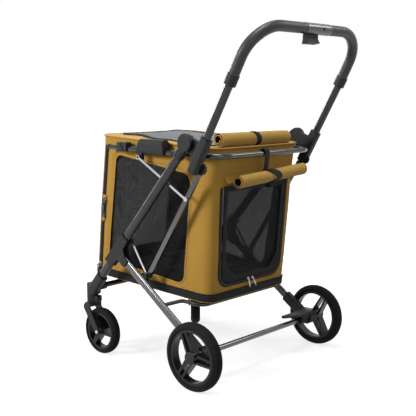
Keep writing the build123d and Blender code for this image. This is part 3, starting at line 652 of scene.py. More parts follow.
def relief(p, h):
    """How far the cloth stands off the pattern: slack, a few soft folds, and a crease at each rear corner."""
    slack = noise.noise(Vector((p * 7.0, h * 5.0, 0.3))) * 0.0024
    folds = noise.noise(Vector((p * 26.0 + h * 9.0, h * 7.0, 2.0))) * 0.0011
    upright = 0.0
    for crease_p, lean, deep in creases:
        away = (p - crease_p - lean * (h / wall_height - 0.5)) / crease_width
        uneven = 0.6 + 0.4 * noise.noise(Vector((h * 11.0, crease_p, 4.0)))
        upright += deep * math.exp(-away * away) * uneven
    return slack + folds - upright


# %% [markdown]
# ## Cutting and sewing tools
# Most cloth parts are one of two things: a patch, which is an outline with holes filled by a fine
# triangle net, or a band, which is a strip of even width along a path. Patches use a constrained Delaunay
# triangulation, because it keeps the drawn edge exact. Bands carry a slightly crowned section. Stitches and
# zip teeth are many small solids, so each row of them is one mesh.

# %% Cloth pieces and their thickness
folding = []


def add_piece(name, verts, faces, uvs, finish, body="rail", slot="ochre_cloth", smooth=True):
    """A mesh piece with UVs in metres that rides on a body and is added to the list of pieces to fold."""
    mesh = bpy.data.meshes.new(name)
    mesh.from_pydata([tuple(v) for v in verts], [], faces)
    layer = mesh.uv_layers.new(name="UVMap")
    for loop in mesh.loops:
        layer.data[loop.index].uv = uvs[loop.vertex_index]
    mesh.materials.append(finish)
    if smooth:
        mesh.shade_smooth()
    made = new_object(name, mesh)
    made["body"] = body
    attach(made, body)
    folding.append(made)
    return made


def apply_modifiers(made):
    """Bakes a piece's modifiers into its mesh."""
    graph = bpy.context.evaluated_depsgraph_get()
    done = bpy.data.meshes.new_from_object(made.evaluated_get(graph))
    made.modifiers.clear()
    made.data = done


def thicken(made, thickness, offset=-1.0):
    """Gives a sheet its thickness, inwards unless offset is 1."""
    solid = made.modifiers.new("cloth", "SOLIDIFY")
    solid.thickness = thickness
    solid.offset = offset
    apply_modifiers(made)


print("pieces to fold so far", len(folding))


# %% Outlines and paths
def rounded(corners, radii, step=0.004):
    """A closed outline through corners, with each corner turned on an arc."""
    outline = []
    count = len(corners)
    for index, radius in enumerate(radii):
        here = Vector(corners[index])
        back, ahead = Vector(corners[index - 1]) - here, Vector(corners[(index + 1) % count]) - here
        half = back.angle(ahead) / 2
        if radius <= 0:
            outline.append(tuple(here))
            continue
        middle = here + (back.normalized() + ahead.normalized()).normalized() * radius / math.sin(half)
        start = here + back.normalized() * radius / math.tan(half) - middle
        end = here + ahead.normalized() * radius / math.tan(half) - middle
        turn = start.angle_signed(end)
        steps = max(3, int(abs(turn) * radius / step))
        for k in range(steps + 1):
            spot = start.copy()
            spot.rotate(Matrix.Rotation(-turn * k / steps, 2))
            outline.append(tuple(middle + spot))
    return outline


def spans(path, closed):
    """Each point of a path with the next one, and the last with the first if the path is closed."""
    return list(zip(path, path[1:] + path[:1] if closed else path[1:]))


def split_path(points, step, closed=False):
    """The path with no two points further apart than step."""
    path = []
    for a, b in spans(points, closed):
        count = max(1, math.ceil(math.dist(a, b) / step))
        path += [tuple(mix(u, w, k / count) for u, w in zip(a, b)) for k in range(count)]
    return path if closed else path + [points[-1]]


def inside(point, outline):
    """Whether a point lies inside a closed outline."""
    x, y = point
    hit = False
    for (ax, ay), (bx, by) in spans(outline, True):
        if (ay > y) != (by > y) and x < (bx - ax) * (y - ay) / (by - ay) + ax:
            hit = not hit
    return hit


def edge_distance(points, outline):
    """Distance from each point to the outline."""
    a = np.array(outline)
    ab = np.roll(a, -1, axis=0) - a
    size = np.maximum((ab ** 2).sum(1), 1e-12)
    best = np.full(len(points), 9.0)
    for start, along, length in zip(a, ab, size):
        share = np.clip(((points - start) @ along) / length, 0, 1)
        best = np.minimum(best, np.linalg.norm(points - start - share[:, None] * along, axis=1))
    return best


print("a rounded square has", len(rounded([(0, 0), (0.1, 0), (0.1, 0.1), (0, 0.1)], [0.01] * 4)), "points")


# %% Patches and bands
def patch(name, outline, holes, place, finish, step=0.012, thickness=0.0, **how):
    """Cloth inside an outline and outside its holes, laid out by place(p, h)."""
    loops = [split_path(list(loop), step, True) for loop in [outline, *holes]]
    (p_low, h_low), (p_high, h_high) = np.min(loops[0], axis=0), np.max(loops[0], axis=0)
    columns, rows = int((p_high - p_low) / step), int((h_high - h_low) / step)
    grid = np.array([(mix(p_low, p_high, (i + 0.5 * (j % 2)) / columns), mix(h_low, h_high, j / rows))
                     for j in range(1, rows) for i in range(1, columns)])
    for loop in loops:
        grid = grid[edge_distance(grid, loop) > step * 0.45]
    points, edges = [], []
    for loop in loops:
        start = len(points)
        points += [Vector(q) for q in loop]
        edges += [(start + k, start + (k + 1) % len(loop)) for k in range(len(loop))]
    points += [Vector(q) for q in grid]
    flat, _, faces, *_ = delaunay_2d_cdt(points, edges, [], 0, 1e-7)
    kept = []
    for face in faces:
        middle = sum((flat[k] for k in face), Vector((0, 0))) / 3
        if inside(middle, loops[0]) and not any(inside(middle, loop) for loop in loops[1:]):
            kept.append(tuple(face))
    verts = [place(q.x, q.y) for q in flat]
    made = add_piece(name, verts, kept, [tuple(q) for q in flat], finish, **how)
    if thickness:
        thicken(made, thickness)
    return made


def loft(count, size, closed):
    """Faces between count rings of size points each, with a cap at each end if the row isn't closed."""
    faces = []
    for index in range(count if closed else count - 1):
        here, after = index * size, (index + 1) % count * size
        faces += [(here + k, here + (k + 1) % size, after + (k + 1) % size, after + k) for k in range(size)]
    if not closed:
        faces += [tuple(range(size - 1, -1, -1)), tuple(range((count - 1) * size, count * size))]
    return faces


def band(name, centre, sideways, outwards, width, thickness, finish, closed=False, **how):
    """A strip along centre points. Its section is flat below and crowned above."""
    shape = [(-0.5, 0.0), (-0.5, 0.55), (-0.3, 1.0), (0.3, 1.0), (0.5, 0.55), (0.5, 0.0)]
    verts, uvs = [], []
    travelled = 0.0
    for index, (spot, side, out) in enumerate(zip(centre, sideways, outwards)):
        if index:
            travelled += (spot - centre[index - 1]).length
        for across_share, up in shape:
            verts.append(spot + side * (across_share * width) + out * (up * thickness))
            uvs.append((travelled, across_share * width))
    return add_piece(name, verts, loft(len(centre), len(shape), closed), uvs, finish, **how)


def neighbours(path, index, closed):
    """The points before and after one of a path's points."""
    count = len(path)
    before = path[index - 1] if index or closed else path[0]
    after = path[(index + 1) % count] if index < count - 1 or closed else path[-1]
    return before, after


def lines_on(path, place, out, closed=False):
    """Centre points, sideways and outward directions of a path drawn on the flat pattern."""
    centre, sideways, outwards = [], [], []
    for index, (p, h) in enumerate(path):
        before, after = neighbours(path, index, closed)
        along = Vector((after[0] - before[0], after[1] - before[1]))
        if abs(along.x) > perimeter / 2:
            along.x -= math.copysign(perimeter, along.x)
        along.normalize()
        normal = Vector((-along.y, along.x)) * 0.0005
        spot = place(p, h, out)
        side = (place(p + normal.x, h + normal.y, out) - place(p - normal.x, h - normal.y, out)).normalized()
        centre.append(spot)
        sideways.append(side)
        outwards.append((place(p, h, out + 0.001) - spot).normalized())
    return centre, sideways, outwards


def tape(name, points, place, width, thickness, finish, out=0.0, closed=False, step=0.008, **how):
    """A band sewn along a path on the flat pattern."""
    path = split_path(list(points), step, closed)
    return band(name, *lines_on(path, place, out, closed), width, thickness, finish, closed, **how)


print("faces of a band of ten sections", len(loft(10, 6, closed=False)))

# %% Stitches, small blocks and zips
thread_faces = ((0, 2, 1), (0, 3, 2), (1, 2, 5, 4), (2, 3, 6, 5), (3, 1, 4, 6),
                (0, 1, 3), (7, 4, 5), (7, 5, 6), (7, 6, 4))
thread_uvs = [(u * 0.001, v * 0.001) for u, v in (
    (0, 0), (1, 0), (1, 1), (1, 0), (2, 0), (2, 1), (2, 0), (3, 0))]


def stitches(name, points, place, finish, out, closed=False, pitch=0.0055, length=0.0036, size=0.0007, **how):
    """A row of short raised threads along a path, each pointed at both ends."""
    path = split_path(list(points), pitch, closed)
    verts, faces, uvs = [], [], []
    for a, b in spans(path, closed):
        start, end = place(*a, out), place(*b, out)
        along = end - start
        if along.length < pitch * 0.3:
            continue
        middle, along = (start + end) / 2, along.normalized() * length / 2
        up = (place(*a, out + 0.001) - start).normalized() * size
        side = along.cross(up).normalized() * size * 0.6
        low, high = middle - along * 0.6, middle + along * 0.6
        faces += [tuple(len(verts) + k for k in face) for face in thread_faces]
        verts += [middle - along, low + side, low + up, low - side]
        verts += [high + side, high + up, high - side, middle + along]
        uvs += thread_uvs
    return add_piece(name, verts, faces, uvs, finish, **how)


box_corners = [(x, y, z) for z in (0, 1) for x, y in ((-1, -1), (1, -1), (1, 1), (-1, 1))]
box_faces = ((3, 2, 1, 0), (4, 5, 6, 7), (0, 1, 5, 4), (1, 2, 6, 5), (2, 3, 7, 6), (3, 0, 4, 7))


def boxes(name, frames, size, finish, **how):
    """Many small blocks, narrower at the top, one at each (middle, along, across, up) frame."""
    verts, faces, uvs = [], [], []
    for middle, along, sideways, up in frames:
        faces += [tuple(len(verts) + k for k in face) for face in box_faces]
        for x, y, z in box_corners:
            slim = 1.0 - 0.3 * z
            spot = middle + along * x * size[0] / 2 * slim + sideways * y * size[1] / 2 * slim
            verts.append(spot + up * z * size[2])
            uvs.append((x * size[0], y * size[1]))
    return add_piece(name, verts, faces, uvs, finish, smooth=False, **how)


def zip_line(name, points, place, out, width=0.009, body="rail"):
    """A zip: a black tape with a row of teeth along its middle."""
    tape(f"{name}_tape", points, place, width, 0.0014, binding_cloth, out, body=body, slot="black_webbing")
    path = split_path(list(points), 0.0034)
    centre, sideways, outwards = lines_on(path, place, out + 0.0012)
    frames = [(spot, out.cross(side), side, out) for spot, side, out in zip(centre, sideways, outwards)]
    boxes(f"{name}_teeth", frames, (0.0019, 0.0034, 0.0012), zip_teeth_nylon, body=body, slot="gloss_moulding")


print("faces of a stitch", len(thread_faces), "and of a block", len(box_faces))

# %% [markdown]
# ## Cabin walls
# The ochre wall is one sheet that goes all the way round, with a window cut in each side and in the
# front, and a doorway in the rear. A black lining hangs just inside it. Each window is a net patch, a
# little slack, with a folded ochre edge and a row of stitches round it.

# %% Walls, lining and windows
window_side = rounded([on_left(*corner_at) for corner_at in (
    (-0.254, 0.652), (-0.296, 0.300), (0.044, 0.270), (0.080, 0.606))], [0.024, 0.012, 0.03, 0.038])
window_front = rounded([on_front(*corner_at) for corner_at in (
    (-0.13, 0.63), (0.13, 0.63), (0.13, 0.31), (-0.13, 0.31))], [0.03] * 4)
door_low, door_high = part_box("rear_door")
door_half, door_foot, door_head = door_high.x, door_low.z + 0.001, door_high.z - 0.008
door_round = 0.034


def door_outline(half, foot, head, turn):
    """An outline on the rear wall, square at the head and rounded at the foot."""
    corners = [on_rear(half, head), on_rear(half, foot), on_rear(-half, foot), on_rear(-half, head)]
    return rounded(corners, [0.0, turn, turn, 0.0])


doorway = door_outline(door_half, door_foot, door_head, door_round)
windows = {"left": window_side, "right": on_right(window_side), "front": window_front}
whole_wall = [(0.0, 0.0), (perimeter - 1e-5, 0.0), (perimeter - 1e-5, wall_height), (0.0, wall_height)]
seam_hold = 0.03


def shell(p, h, out=0.0):
    """The wall with its slack and folds, which end at the seams above and below."""
    return wrap(p, h, out + relief(p, h) * min(1.0, h / seam_hold, (wall_height - h) / seam_hold))


def deeper(p, h, out=0.0):
    """The place of the lining, just inside the wall."""
    return shell(p, h, out - 0.004)


holes = [*windows.values(), doorway]
cabin_cloth = patch("cabin_cloth", whole_wall, holes, shell, ochre, thickness=0.0018)
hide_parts("cabin_side_left", "cabin_side_right", "cabin_front", "cabin_rear")
cabin_lining = patch("cabin_lining", whole_wall, holes, deeper, lining, step=0.02, thickness=0.001)


window_slack = 0.004


def window_patch(name, outline):
    """A window net: it follows its edge and sags inwards between."""
    def sagging(p, h):
        away = float(edge_distance(np.array([(p, h)]), outline)[0])
        soft = min(1.0, away / 0.05)
        ripple = noise.noise(Vector((p * 22.0 + h * 8.0, h * 9.0, 5.0))) * 0.0035 * soft
        return shell(p, h, -0.0022 - window_slack * soft * soft * (3 - 2 * soft) + ripple)
    patch(name, outline, [], sagging, window_net, slot="mesh")


for side, outline in windows.items():
    window_patch(f"window_net_{side}", outline)
    tape(f"window_fold_{side}", outline, shell, 0.006, 0.0016, ochre, 0.0, closed=True, step=0.006)
    middle = np.mean(outline, axis=0)
    wide = [tuple(middle + (np.array(q) - middle) * 1.07) for q in outline]
    stitches(f"window_stitches_{side}", wide, shell, ochre_thread, 0.0002, closed=True)
print("walls", len(cabin_cloth.data.vertices))

# %% [markdown]
# ## Hem and floor
# The lower edge of a sewn bag is bound, because that seam carries the load. A black band goes round the
# foot of the walls, with a thin ochre cord under it and a black one over it, and the stiffened floor sags
# a little in the middle.

# %% Hem, its two cords and the floor
def ring(h):
    """A level line once round the flat pattern."""
    return [(0.0, h), (perimeter, h)]


hem_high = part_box("cabin_hem")[1].z - floor_height(front_low[0])
cabin_hem = tape("cabin_hem_band", ring(hem_high / 2), wrap, hem_high + 0.001, 0.0028, hem_cloth, 0.0005,
                 step=0.01, slot="black_webbing")
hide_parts("cabin_hem")
tape("hem_cord_low", ring(0.0004), wrap, 0.0024, 0.0032, ochre, -0.0003, step=0.01)
tape("hem_cord_high", ring(hem_high), wrap, 0.0036, 0.0034, binding_cloth, 0.001, step=0.01,
     slot="black_webbing")
stitches("hem_stitches", ring(hem_high - 0.004), wrap, black_thread, 0.0034, slot="black_webbing")


def plan(h, points=150):
    """The outline of the cabin seen from above, at h up the walls."""
    return [tuple(wrap(perimeter * k / points, h).xy) for k in range(points)]


floor_edge, roof_edge = plan(0.0), plan(wall_height)


def soft_step(share):
    """From 0 to 1 with a soft start and end."""
    share = max(0.0, min(1.0, share))
    return share * share * (3 - 2 * share)


def box_depth(x, y, edges):
    """Distance inwards from the nearest of the four straight edges."""
    return min(half_width - abs(x), y - edges[0], edges[1] - y)


def on_floor(x, y):
    """The floor's surface, lower in the middle."""
    depth = box_depth(x, y, (front_low[0], rear_low[0]))
    return Vector((x, y, floor_height(y) + 0.0012 - 0.0022 * soft_step(depth / 0.12)))


cabin_floor = patch("cabin_floor_panel", floor_edge, [], on_floor, lining, step=0.02, slot="cushion_cloth")
thicken(cabin_floor, 0.004, 1.0)
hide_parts("cabin_floor")
print("hem", round(hem_high, 4), "floor", len(cabin_floor.data.vertices))

# %% [markdown]
# ## Roof
# The roof is a loose lid: ochre cloth all round, with a large grey skylight net sewn into it. It puffs up
# between its seams and lies flat at the rear, where the rolled cover rests on it. Broad noise gives the
# puff, and the dark tape round the skylight follows the same surface, so it waves with the cloth.

# %% Roof cloth, skylight and seams
light_half, light_far = half_width - 0.045, half_width - 0.07
light_front, light_rear = front_top[0] + 0.05, 0.098
stitch_inset = 0.011


def on_roof(x, y, out=0.0):
    """The roof surface: zero at the seams, puffed in the middle, flat under the roll."""
    depth = box_depth(x, y, (front_top[0], rear_top[0]))
    open_share = soft_step(depth / 0.06) * soft_step((0.116 - y) / 0.05)
    broad = noise.noise(Vector((x * 5.0, y * 11.0, 7.0))) * 0.011
    waves = broad + noise.noise(Vector((x * 17.0, y * 14.0, 1.0))) * 0.003
    lift = open_share * (0.0045 + waves)
    return Vector((x, y, roof_height(y) + max(0.0, lift) + out))


def skylight_edge(inwards, radii):
    """The skylight's outline, or a line some way inside it."""
    right, front, rear = light_half - inwards, light_front + inwards, light_rear - inwards
    left = -light_far + inwards
    return rounded([(right, front), (right, rear), (left, rear), (left, front)], radii)


skylight = skylight_edge(0.0, [0.025, 0.02, 0.02, 0.025])
# the roof cloth takes the ochre with painted top light
cabin_roof = patch("cabin_roof_cloth", roof_edge, [skylight], on_roof, ochre_painted_top_light, step=0.011)
thicken(cabin_roof, 0.0018)
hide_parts("cabin_roof")
skylight_net = patch("skylight_net", skylight, [], lambda x, y: on_roof(x, y, 0.0006), roof_net,
                     step=0.011, slot="mesh")
tape("skylight_binding", skylight, on_roof, 0.013, 0.0024, binding_cloth, 0.0004, closed=True,
     slot="black_webbing")
stitches("skylight_stitches", skylight_edge(stitch_inset, [0.02] * 4), on_roof, black_thread, 0.0012,
         closed=True, slot="black_webbing")
# the roof cord takes the ochre with painted top light
tape("roof_cord", ring(wall_height - 0.0005), wrap, 0.005, 0.0042, ochre_painted_top_light, 0.0, step=0.01)
stitches("roof_stitches", ring(wall_height - 0.007), shell, ochre_thread, 0.0004)
print("roof top", round(max(v.co.z for v in cabin_roof.data.vertices), 4))

# %% [markdown]
# ## Doorway
# The rear wall opens as a net door. It hangs from its top edge, and a zip runs down one side, along the
# foot and up the other. The zip's tape belongs to the wall, and the door brings a wide black binding, two
# reinforced corners and the pulls. The door parts ride with the door.

# %% Door net, binding, corners and zip
def door_path(grow, high):
    """The U of the door's free edge: down one side, along the foot and up the other."""
    return door_outline(door_half + grow, door_foot - grow, high, door_round + grow)


def door_surface(p, h, out=0.0):
    """The face of the door, just off the wall."""
    return wrap(p, h, out + 0.0008)


door_inset = 0.004
inner_half, inner_foot, inner_head = door_half - door_inset, door_foot + door_inset, door_head + door_inset
net_edge = door_outline(inner_half, inner_foot, inner_head, door_round - door_inset)


def sagging_door(p, h):
    """The door's net: it follows its edge and hangs a little inwards between."""
    away = float(edge_distance(np.array([(p, h)]), net_edge)[0])
    ripple = noise.noise(Vector((p * 19.0, h * 16.0, 3.0))) * 0.0018
    return door_surface(p, h, -0.001 - 0.0025 * soft_step(away / 0.05) + ripple * soft_step(away / 0.03))


on_door = {"body": "rear_flap", "slot": "black_webbing"}
door_sheet = patch("door_net_sheet", net_edge, [], sagging_door, door_net, slot="mesh", body="rear_flap")
tape("door_binding", door_path(-0.0125, door_head), door_surface, 0.017, 0.0022, hem_cloth, 0.0, **on_door)
tape("door_binding_ridge", door_path(-0.0045, door_head), door_surface, 0.0035, 0.0032, binding_cloth, 0.0004,
     **on_door)
head_line = [on_rear(-inner_half, door_head - 0.004), on_rear(inner_half, door_head - 0.004)]
tape("door_head", head_line, door_surface, 0.016, 0.002, hem_cloth, 0.0002, **on_door)
stitches("door_stitches", door_path(-0.0195, door_head - 0.01), door_surface, black_thread, 0.0018, **on_door)
for side, sign in (("left", 1), ("right", -1)):
    wide, foot = inner_half - 0.013, inner_foot + 0.011
    shape = [on_rear(sign * (wide - inwards), foot + up) for inwards, up in (
        (0, 0.05), (0, 0.012), (0.012, 0), (0.055, 0.001), (0.03, 0.018))][::-sign]
    corner_patch = patch(f"door_corner_{side}", shape, [], lambda p, h: door_surface(p, h, 0.0004), lining,
                         step=0.008, **on_door)
    thicken(corner_patch, 0.0012, 1.0)
zip_line("door_zip", door_path(0.0055, door_head), wrap, 0.0004, width=0.0125)
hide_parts("rear_door")


# %% Door hinge seam and zip pulls
def tube(name, path, radius, finish, sides=8, closed=False, **how):
    """A round cord along a path of points."""
    verts, uvs = [], []
    side = None
    for index, spot in enumerate(path):
        before, after = neighbours(path, index, closed)
        along = (after - before).normalized()
        side = side if side else along.orthogonal().normalized()
        side = (side - along * side.dot(along)).normalized()
        up = along.cross(side)
        for k in range(sides):
            turn = 2 * math.pi * k / sides
            verts.append(spot + (side * math.cos(turn) + up * math.sin(turn)) * radius)
            uvs.append((index * 0.002, k * 0.002))
    return add_piece(name, verts, loft(len(path), sides, closed), uvs, finish, **how)


x_way, y_way, z_way = Vector((1, 0, 0)), Vector((0, 1, 0)), Vector((0, 0, 1))
zinc, on_pull = finishes["pull_metal"], {"body": "rear_flap", "slot": "pull_metal"}
hinge_y, hinge_z, hinge_steps = door_high.y - 0.003, door_high.z - 0.003, 24
hinge = []
for k in range(hinge_steps + 1):
    hinge.append(Vector((mix(-inner_half, inner_half, k / hinge_steps), hinge_y, hinge_z)))
tube("door_hinge_seam", hinge, 0.0024, hem_cloth, **on_door)


def hanging_loop(top, lean, width=0.0026, points=28):
    """A long wire loop that hangs from its slider."""
    loop = []
    for k in range(points):
        turn = 2 * math.pi * k / points
        along = 0.5 + 0.5 * math.cos(turn)
        loop.append(top + y_way * 0.0036 + lean * (1 - along) + x_way * (math.sin(turn) * width))
    return loop


for side, sign in (("left", 1), ("right", -1)):
    top = door_surface(*on_rear(0.004 + sign * 0.011, door_foot), 0.0022)
    lean = Vector((-0.004 + sign * 0.003, 0.0022, -0.017))
    boxes(f"zip_slider_{side}", [(top, x_way, z_way, y_way)], (0.007, 0.0085, 0.003), zinc, **on_pull)
    loop = hanging_loop(top, lean)
    tube(f"zip_pull_{side}", loop, 0.0009, zinc, closed=True, **on_pull)
    tab = [(loop[12] + loop[16]) / 2 + lean.normalized() * distance for distance in (-0.003, 0.004, 0.011)]
    band(f"zip_tab_{side}", tab, [x_way] * 3, [y_way] * 3, 0.0045, 0.002, zinc, **on_pull)
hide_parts("zip_pulls")

# %% [markdown]
# ## Rolled covers
# Two ochre covers roll down to close the net door and the skylight, and are carried rolled up. A solid bar
# would have flat ends, so each roll is one real sheet wound into a spiral: the ends then show the turns of
# cloth and the hollow in the middle. The sheet's inner face is the black lining, a painted shade that
# darkens the gaps between the turns and the hollow. A strap pinches each one near its middle.

# %% Spiral rolls
pinch_deep, pinch_wide, crease_wide = 0.13, 0.016, 0.05
puff_deep, crease_deep, end_slant = 0.0011, 0.0005, 0.004


def spiral_roll(name, node_name, pinch_x, hollow, turns, open_angle, swell, lift):
    """One sheet wound into a roll along x, tight where the strap holds it.

    swell is its thickness against the frame's bar, and lift raises its right end.
    """
    low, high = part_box(node_name)
    ends = {}
    for sign in (-1, 1):
        edge = low.x if sign < 0 else high.x
        near = [v.co for v in nodes[node_name].data.vertices if abs(v.co.x - edge) < 0.008]
        y_low, y_high = min(c.y for c in near), max(c.y for c in near)
        z_low, z_high = min(c.z for c in near), max(c.z for c in near)
        ends[sign] = Vector((edge, (y_low + y_high) / 2, (z_low + z_high) / 2))
    outer = (high.y - low.y) / 2 * swell - 0.001
    ends[-1].z += lift
    columns, rows = 72, int(turns * 30)
    verts, uvs = [], []
    for i in range(columns + 1):
        share = i / columns
        middle = ends[-1].lerp(ends[1], share)
        pinch = 1 - pinch_deep * math.exp(-((middle.x - pinch_x) / pinch_wide) ** 2)
        crease = math.exp(-((middle.x - pinch_x) / crease_wide) ** 2)
        travelled = 0.0
        for j in range(rows + 1):
            turn = 2 * math.pi * turns * j / rows
            radius = mix(outer, hollow, j / rows)
            travelled += 2 * math.pi * turns / rows * radius
            puff = noise.noise(Vector((middle.x * 9.0, turn * 0.35, hollow * 90))) * puff_deep
            puff += math.sin(turn * 9 + middle.x * 30) * crease_deep * crease
            angle = open_angle + turn
            reach = min(outer, radius * pinch + puff)
            end_share = min(1.0, abs(share - 0.5) * 2) ** 8
            end_lean = end_slant * (1 - j / rows) * (1 if share > 0.5 else -1) * end_share
            verts.append(middle + Vector((-end_lean, math.cos(angle) * reach, math.sin(angle) * reach)))
            uvs.append((middle.x, travelled))
    starts = [i * (rows + 1) + j for i in range(columns) for j in range(rows)]
    faces = [(a, a + 1, a + rows + 2, a + rows + 1) for a in starts]
    # the roll's outer face takes the ochre with painted top light
    rolled = add_piece(name, verts, faces, uvs, ochre_painted_top_light)
    # painted shade: the sheet's inner face takes the black lining, so the gaps between the turns and the
    # hollow come out dark
    rolled.data.materials.append(lining)
    solid = rolled.modifiers.new("cloth", "SOLIDIFY")
    solid.thickness = 0.0024
    solid.offset = 0.0
    solid.material_offset = 1
    solid.material_offset_rim = 0
    apply_modifiers(rolled)
    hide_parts(node_name)
    return outer, ends


rear_outer, rear_ends = spiral_roll("rear_cover_roll", "rear_roll", -0.006, hollow=0.0112, turns=1.8,
                                    open_angle=math.radians(200), swell=1.0, lift=0.009)
roof_outer, roof_ends = spiral_roll("roof_cover_roll", "roof_roll", 0.0, hollow=0.0082, turns=2.3,
                                    open_angle=math.radians(250), swell=1.13, lift=-0.002)


# %% Straps round the rolls
def smooth_path(points, per_span=8):
    """A smooth line through the points."""
    points = [Vector(p) for p in points]
    ends = [points[0] * 2 - points[1], *points, points[-1] * 2 - points[-2]]
    path = []
    for k in range(1, len(ends) - 2):
        a, b, c, d = ends[k - 1:k + 3]
        bend, twist = 2 * a - 5 * b + 4 * c - d, 3 * b - a - 3 * c + d
        for step in range(per_span):
            t = step / per_span
            path.append(0.5 * (2 * b + (c - a) * t + bend * t * t + twist * t ** 3))
    return path + [points[-1]]


def strap(name, points, centre_of, width, thickness, finish, **how):
    """Webbing laid along a smooth path, its face turned away from centre_of(point)."""
    path = smooth_path(points)
    sideways, outwards = [], []
    for index, spot in enumerate(path):
        along = (path[min(index + 1, len(path) - 1)] - path[max(index - 1, 0)]).normalized()
        out = spot - centre_of(spot)
        out = (out - along * out.dot(along)).normalized()
        outwards.append(out)
        sideways.append(along.cross(out))
    return band(name, path, sideways, outwards, width, thickness, finish, **how)


def roll_axis(ends):
    """A function that gives the point of a roll's axis level with a spot."""
    def nearest(spot):
        share = (spot.x - ends[-1].x) / (ends[1].x - ends[-1].x)
        return ends[-1].lerp(ends[1], share)
    return nearest


def round_x(degrees):
    """The direction at an angle round the x axis, from the rear upwards."""
    return Vector((0, math.cos(math.radians(degrees)), math.sin(math.radians(degrees))))


def round_roll(ends, radius, places):
    """Points at a radius round a roll, one for each (angle in degrees, x)."""
    axis = roll_axis(ends)
    return [axis(Vector((x, 0, 0))) + round_x(degrees) * radius for degrees, x in places]


web_wide, web_thick = 0.0215, 0.0018
roof_axis, rear_axis = roll_axis(roof_ends), roll_axis(rear_ends)
black_web = {"finish": webbing, "slot": "black_webbing"}
roof_round = round_roll(roof_ends, roof_outer * 0.9, (
    (-118, -0.004), (-150, 0.0), (180, 0.003), (140, 0.005), (100, 0.004), (60, 0.001), (20, -0.003),
    (-20, -0.007), (-55, -0.009), (-80, -0.008)))
roof_strap = strap("roll_webbing", roof_round, roof_axis, web_wide, web_thick, **black_web)
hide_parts("roll_straps")
rail_radius, over_radius, rail_above_roll = 0.008, 0.0094, 0.072
rail_y, rail_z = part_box("seat_rail")[1].y - rail_radius, rear_axis(Vector((0, 0, 0))).z + rail_above_roll
over_rail = []
for turn in (-80, -120, -165, 150, 105, 60, 15, -25):
    y, z = math.cos(math.radians(turn)) * over_radius, math.sin(math.radians(turn)) * over_radius
    over_rail.append(Vector((0.0175, rail_y + y, rail_z + z)))
strap("rail_webbing", over_rail, lambda spot: Vector((spot.x, rail_y, rail_z)), web_wide, 0.0017, **black_web)
rear_round = round_roll(rear_ends, rear_outer * 0.95, (
    (112, 0.019), (84, 0.011), (56, -0.001), (28, -0.014), (0, -0.025), (-28, -0.030), (-50, -0.026),
    (-85, -0.010), (-120, 0.0), (-155, 0.006), (170, 0.010), (135, 0.014), (114, 0.018)))
strap("tied_webbing", rear_round, rear_axis, web_wide, web_thick, **black_web)
hang_foot = round_roll(rear_ends, rear_outer * 0.97, [(98, 0.018)])[0]
hang_head = Vector((0.0178, rail_y + 0.0092, rail_z - 0.003))
hang = []
for share in (0, 0.3, 0.7, 1):
    hang.append(hang_head.lerp(hang_foot, share) + Vector((0, 0.002 * math.sin(math.pi * share), 0)))
strap("hanging_webbing", hang, lambda spot: spot - y_way, web_wide, web_thick, **black_web)
tail = round_roll(rear_ends, rear_outer * 0.97, ((-60, -0.014), (-78, -0.009), (-95, -0.004)))
tail += [tail[-1] + Vector((0.0, -0.003, -0.009)), tail[-1] + Vector((0.002, -0.004, -0.018))]
strap("webbing_tail", tail, rear_axis, web_wide * 0.8, web_thick, **black_web)
print("rail at", round(rail_y, 4), round(rail_z, 4))

# %% Root of the rear cover
flap_high, flap_low = door_high.z + 0.028, door_high.z + 0.006


def flap_root(x, z):
    """The short piece of the rear cover between its seam and the roll, which it meets further out."""
    share = (flap_high - z) / (flap_high - flap_low)
    wall = wrap(*on_rear(x, z), 0.0012)
    return wall + Vector((0, 0.010 * share * share, 0))


root_right, root_left = rear_ends[-1].x, rear_ends[1].x
root_edge = [(root_right + 0.006, flap_low), (root_left - 0.002, flap_low),
             (root_left + 0.004, flap_high), (root_right - 0.004, flap_high)]
root_sheet = patch("cover_root", root_edge, [], flap_root, ochre, step=0.01)
print("rolls", round(rear_outer, 4), round(roof_outer, 4), "root", round(flap_high - flap_low, 4))

# %% [markdown]
# ## Front zip and clip
# The front wall also opens, by a zip down the round corner. A plastic clip half way down takes the strain
# off the zip, held by a short ochre tab above and below.

# %% Zip strip, clip and pull
zip_p = across + arc * 0.98
zip_path = [(zip_p, 0.03), (zip_p - 0.001, 0.2), (zip_p, wall_height - 0.03)]
zip_line("front_zip", zip_path, shell, 0.0006, width=0.015)


def wall_frame(p, h, out):
    """A middle point on the wall with its level, upright and outward directions."""
    middle = shell(p, h, out)
    level_way = (shell(p + 0.002, h, out) - shell(p - 0.002, h, out)).normalized()
    upright = (shell(p, h + 0.002, out) - shell(p, h - 0.002, out)).normalized()
    return middle, level_way, upright, level_way.cross(upright)


clip_p, clip_h = zip_p + 0.004, 0.222
polished = finishes["gloss_moulding"]
end_size = (0.0215, 0.018, 0.007)
clip_parts = (("body", 0.0, (0.0165, 0.034, 0.009)), ("head", 0.023, end_size), ("foot", -0.023, end_size))
for part, rise, size in clip_parts:
    place = wall_frame(clip_p, clip_h + rise, 0.0016)
    made = boxes(f"clip_{part}", [place], size, polished, slot="gloss_moulding")
    bevel = made.modifiers.new("edge", "BEVEL")
    bevel.width = 0.0014
    bevel.segments = 2
    apply_modifiers(made)
for part, rise in (("high", 0.037), ("low", -0.037)):
    tab_path = [(clip_p, clip_h + rise - 0.006), (clip_p, clip_h + rise + 0.006)]
    tape(f"clip_tab_{part}", tab_path, shell, 0.014, 0.0022, ochre, 0.002)
slider_frame = wall_frame(zip_p, 0.037, 0.0022)
slider_at, level_way, _, out_way = slider_frame
boxes("front_zip_slider", [slider_frame], (0.009, 0.011, 0.004), zinc, slot="pull_metal")
hang_way = (out_way * 0.35 - z_way).normalized()
pull_path = [slider_at + out_way * 0.004 + hang_way * distance for distance in (0.0, 0.006, 0.012, 0.019)]
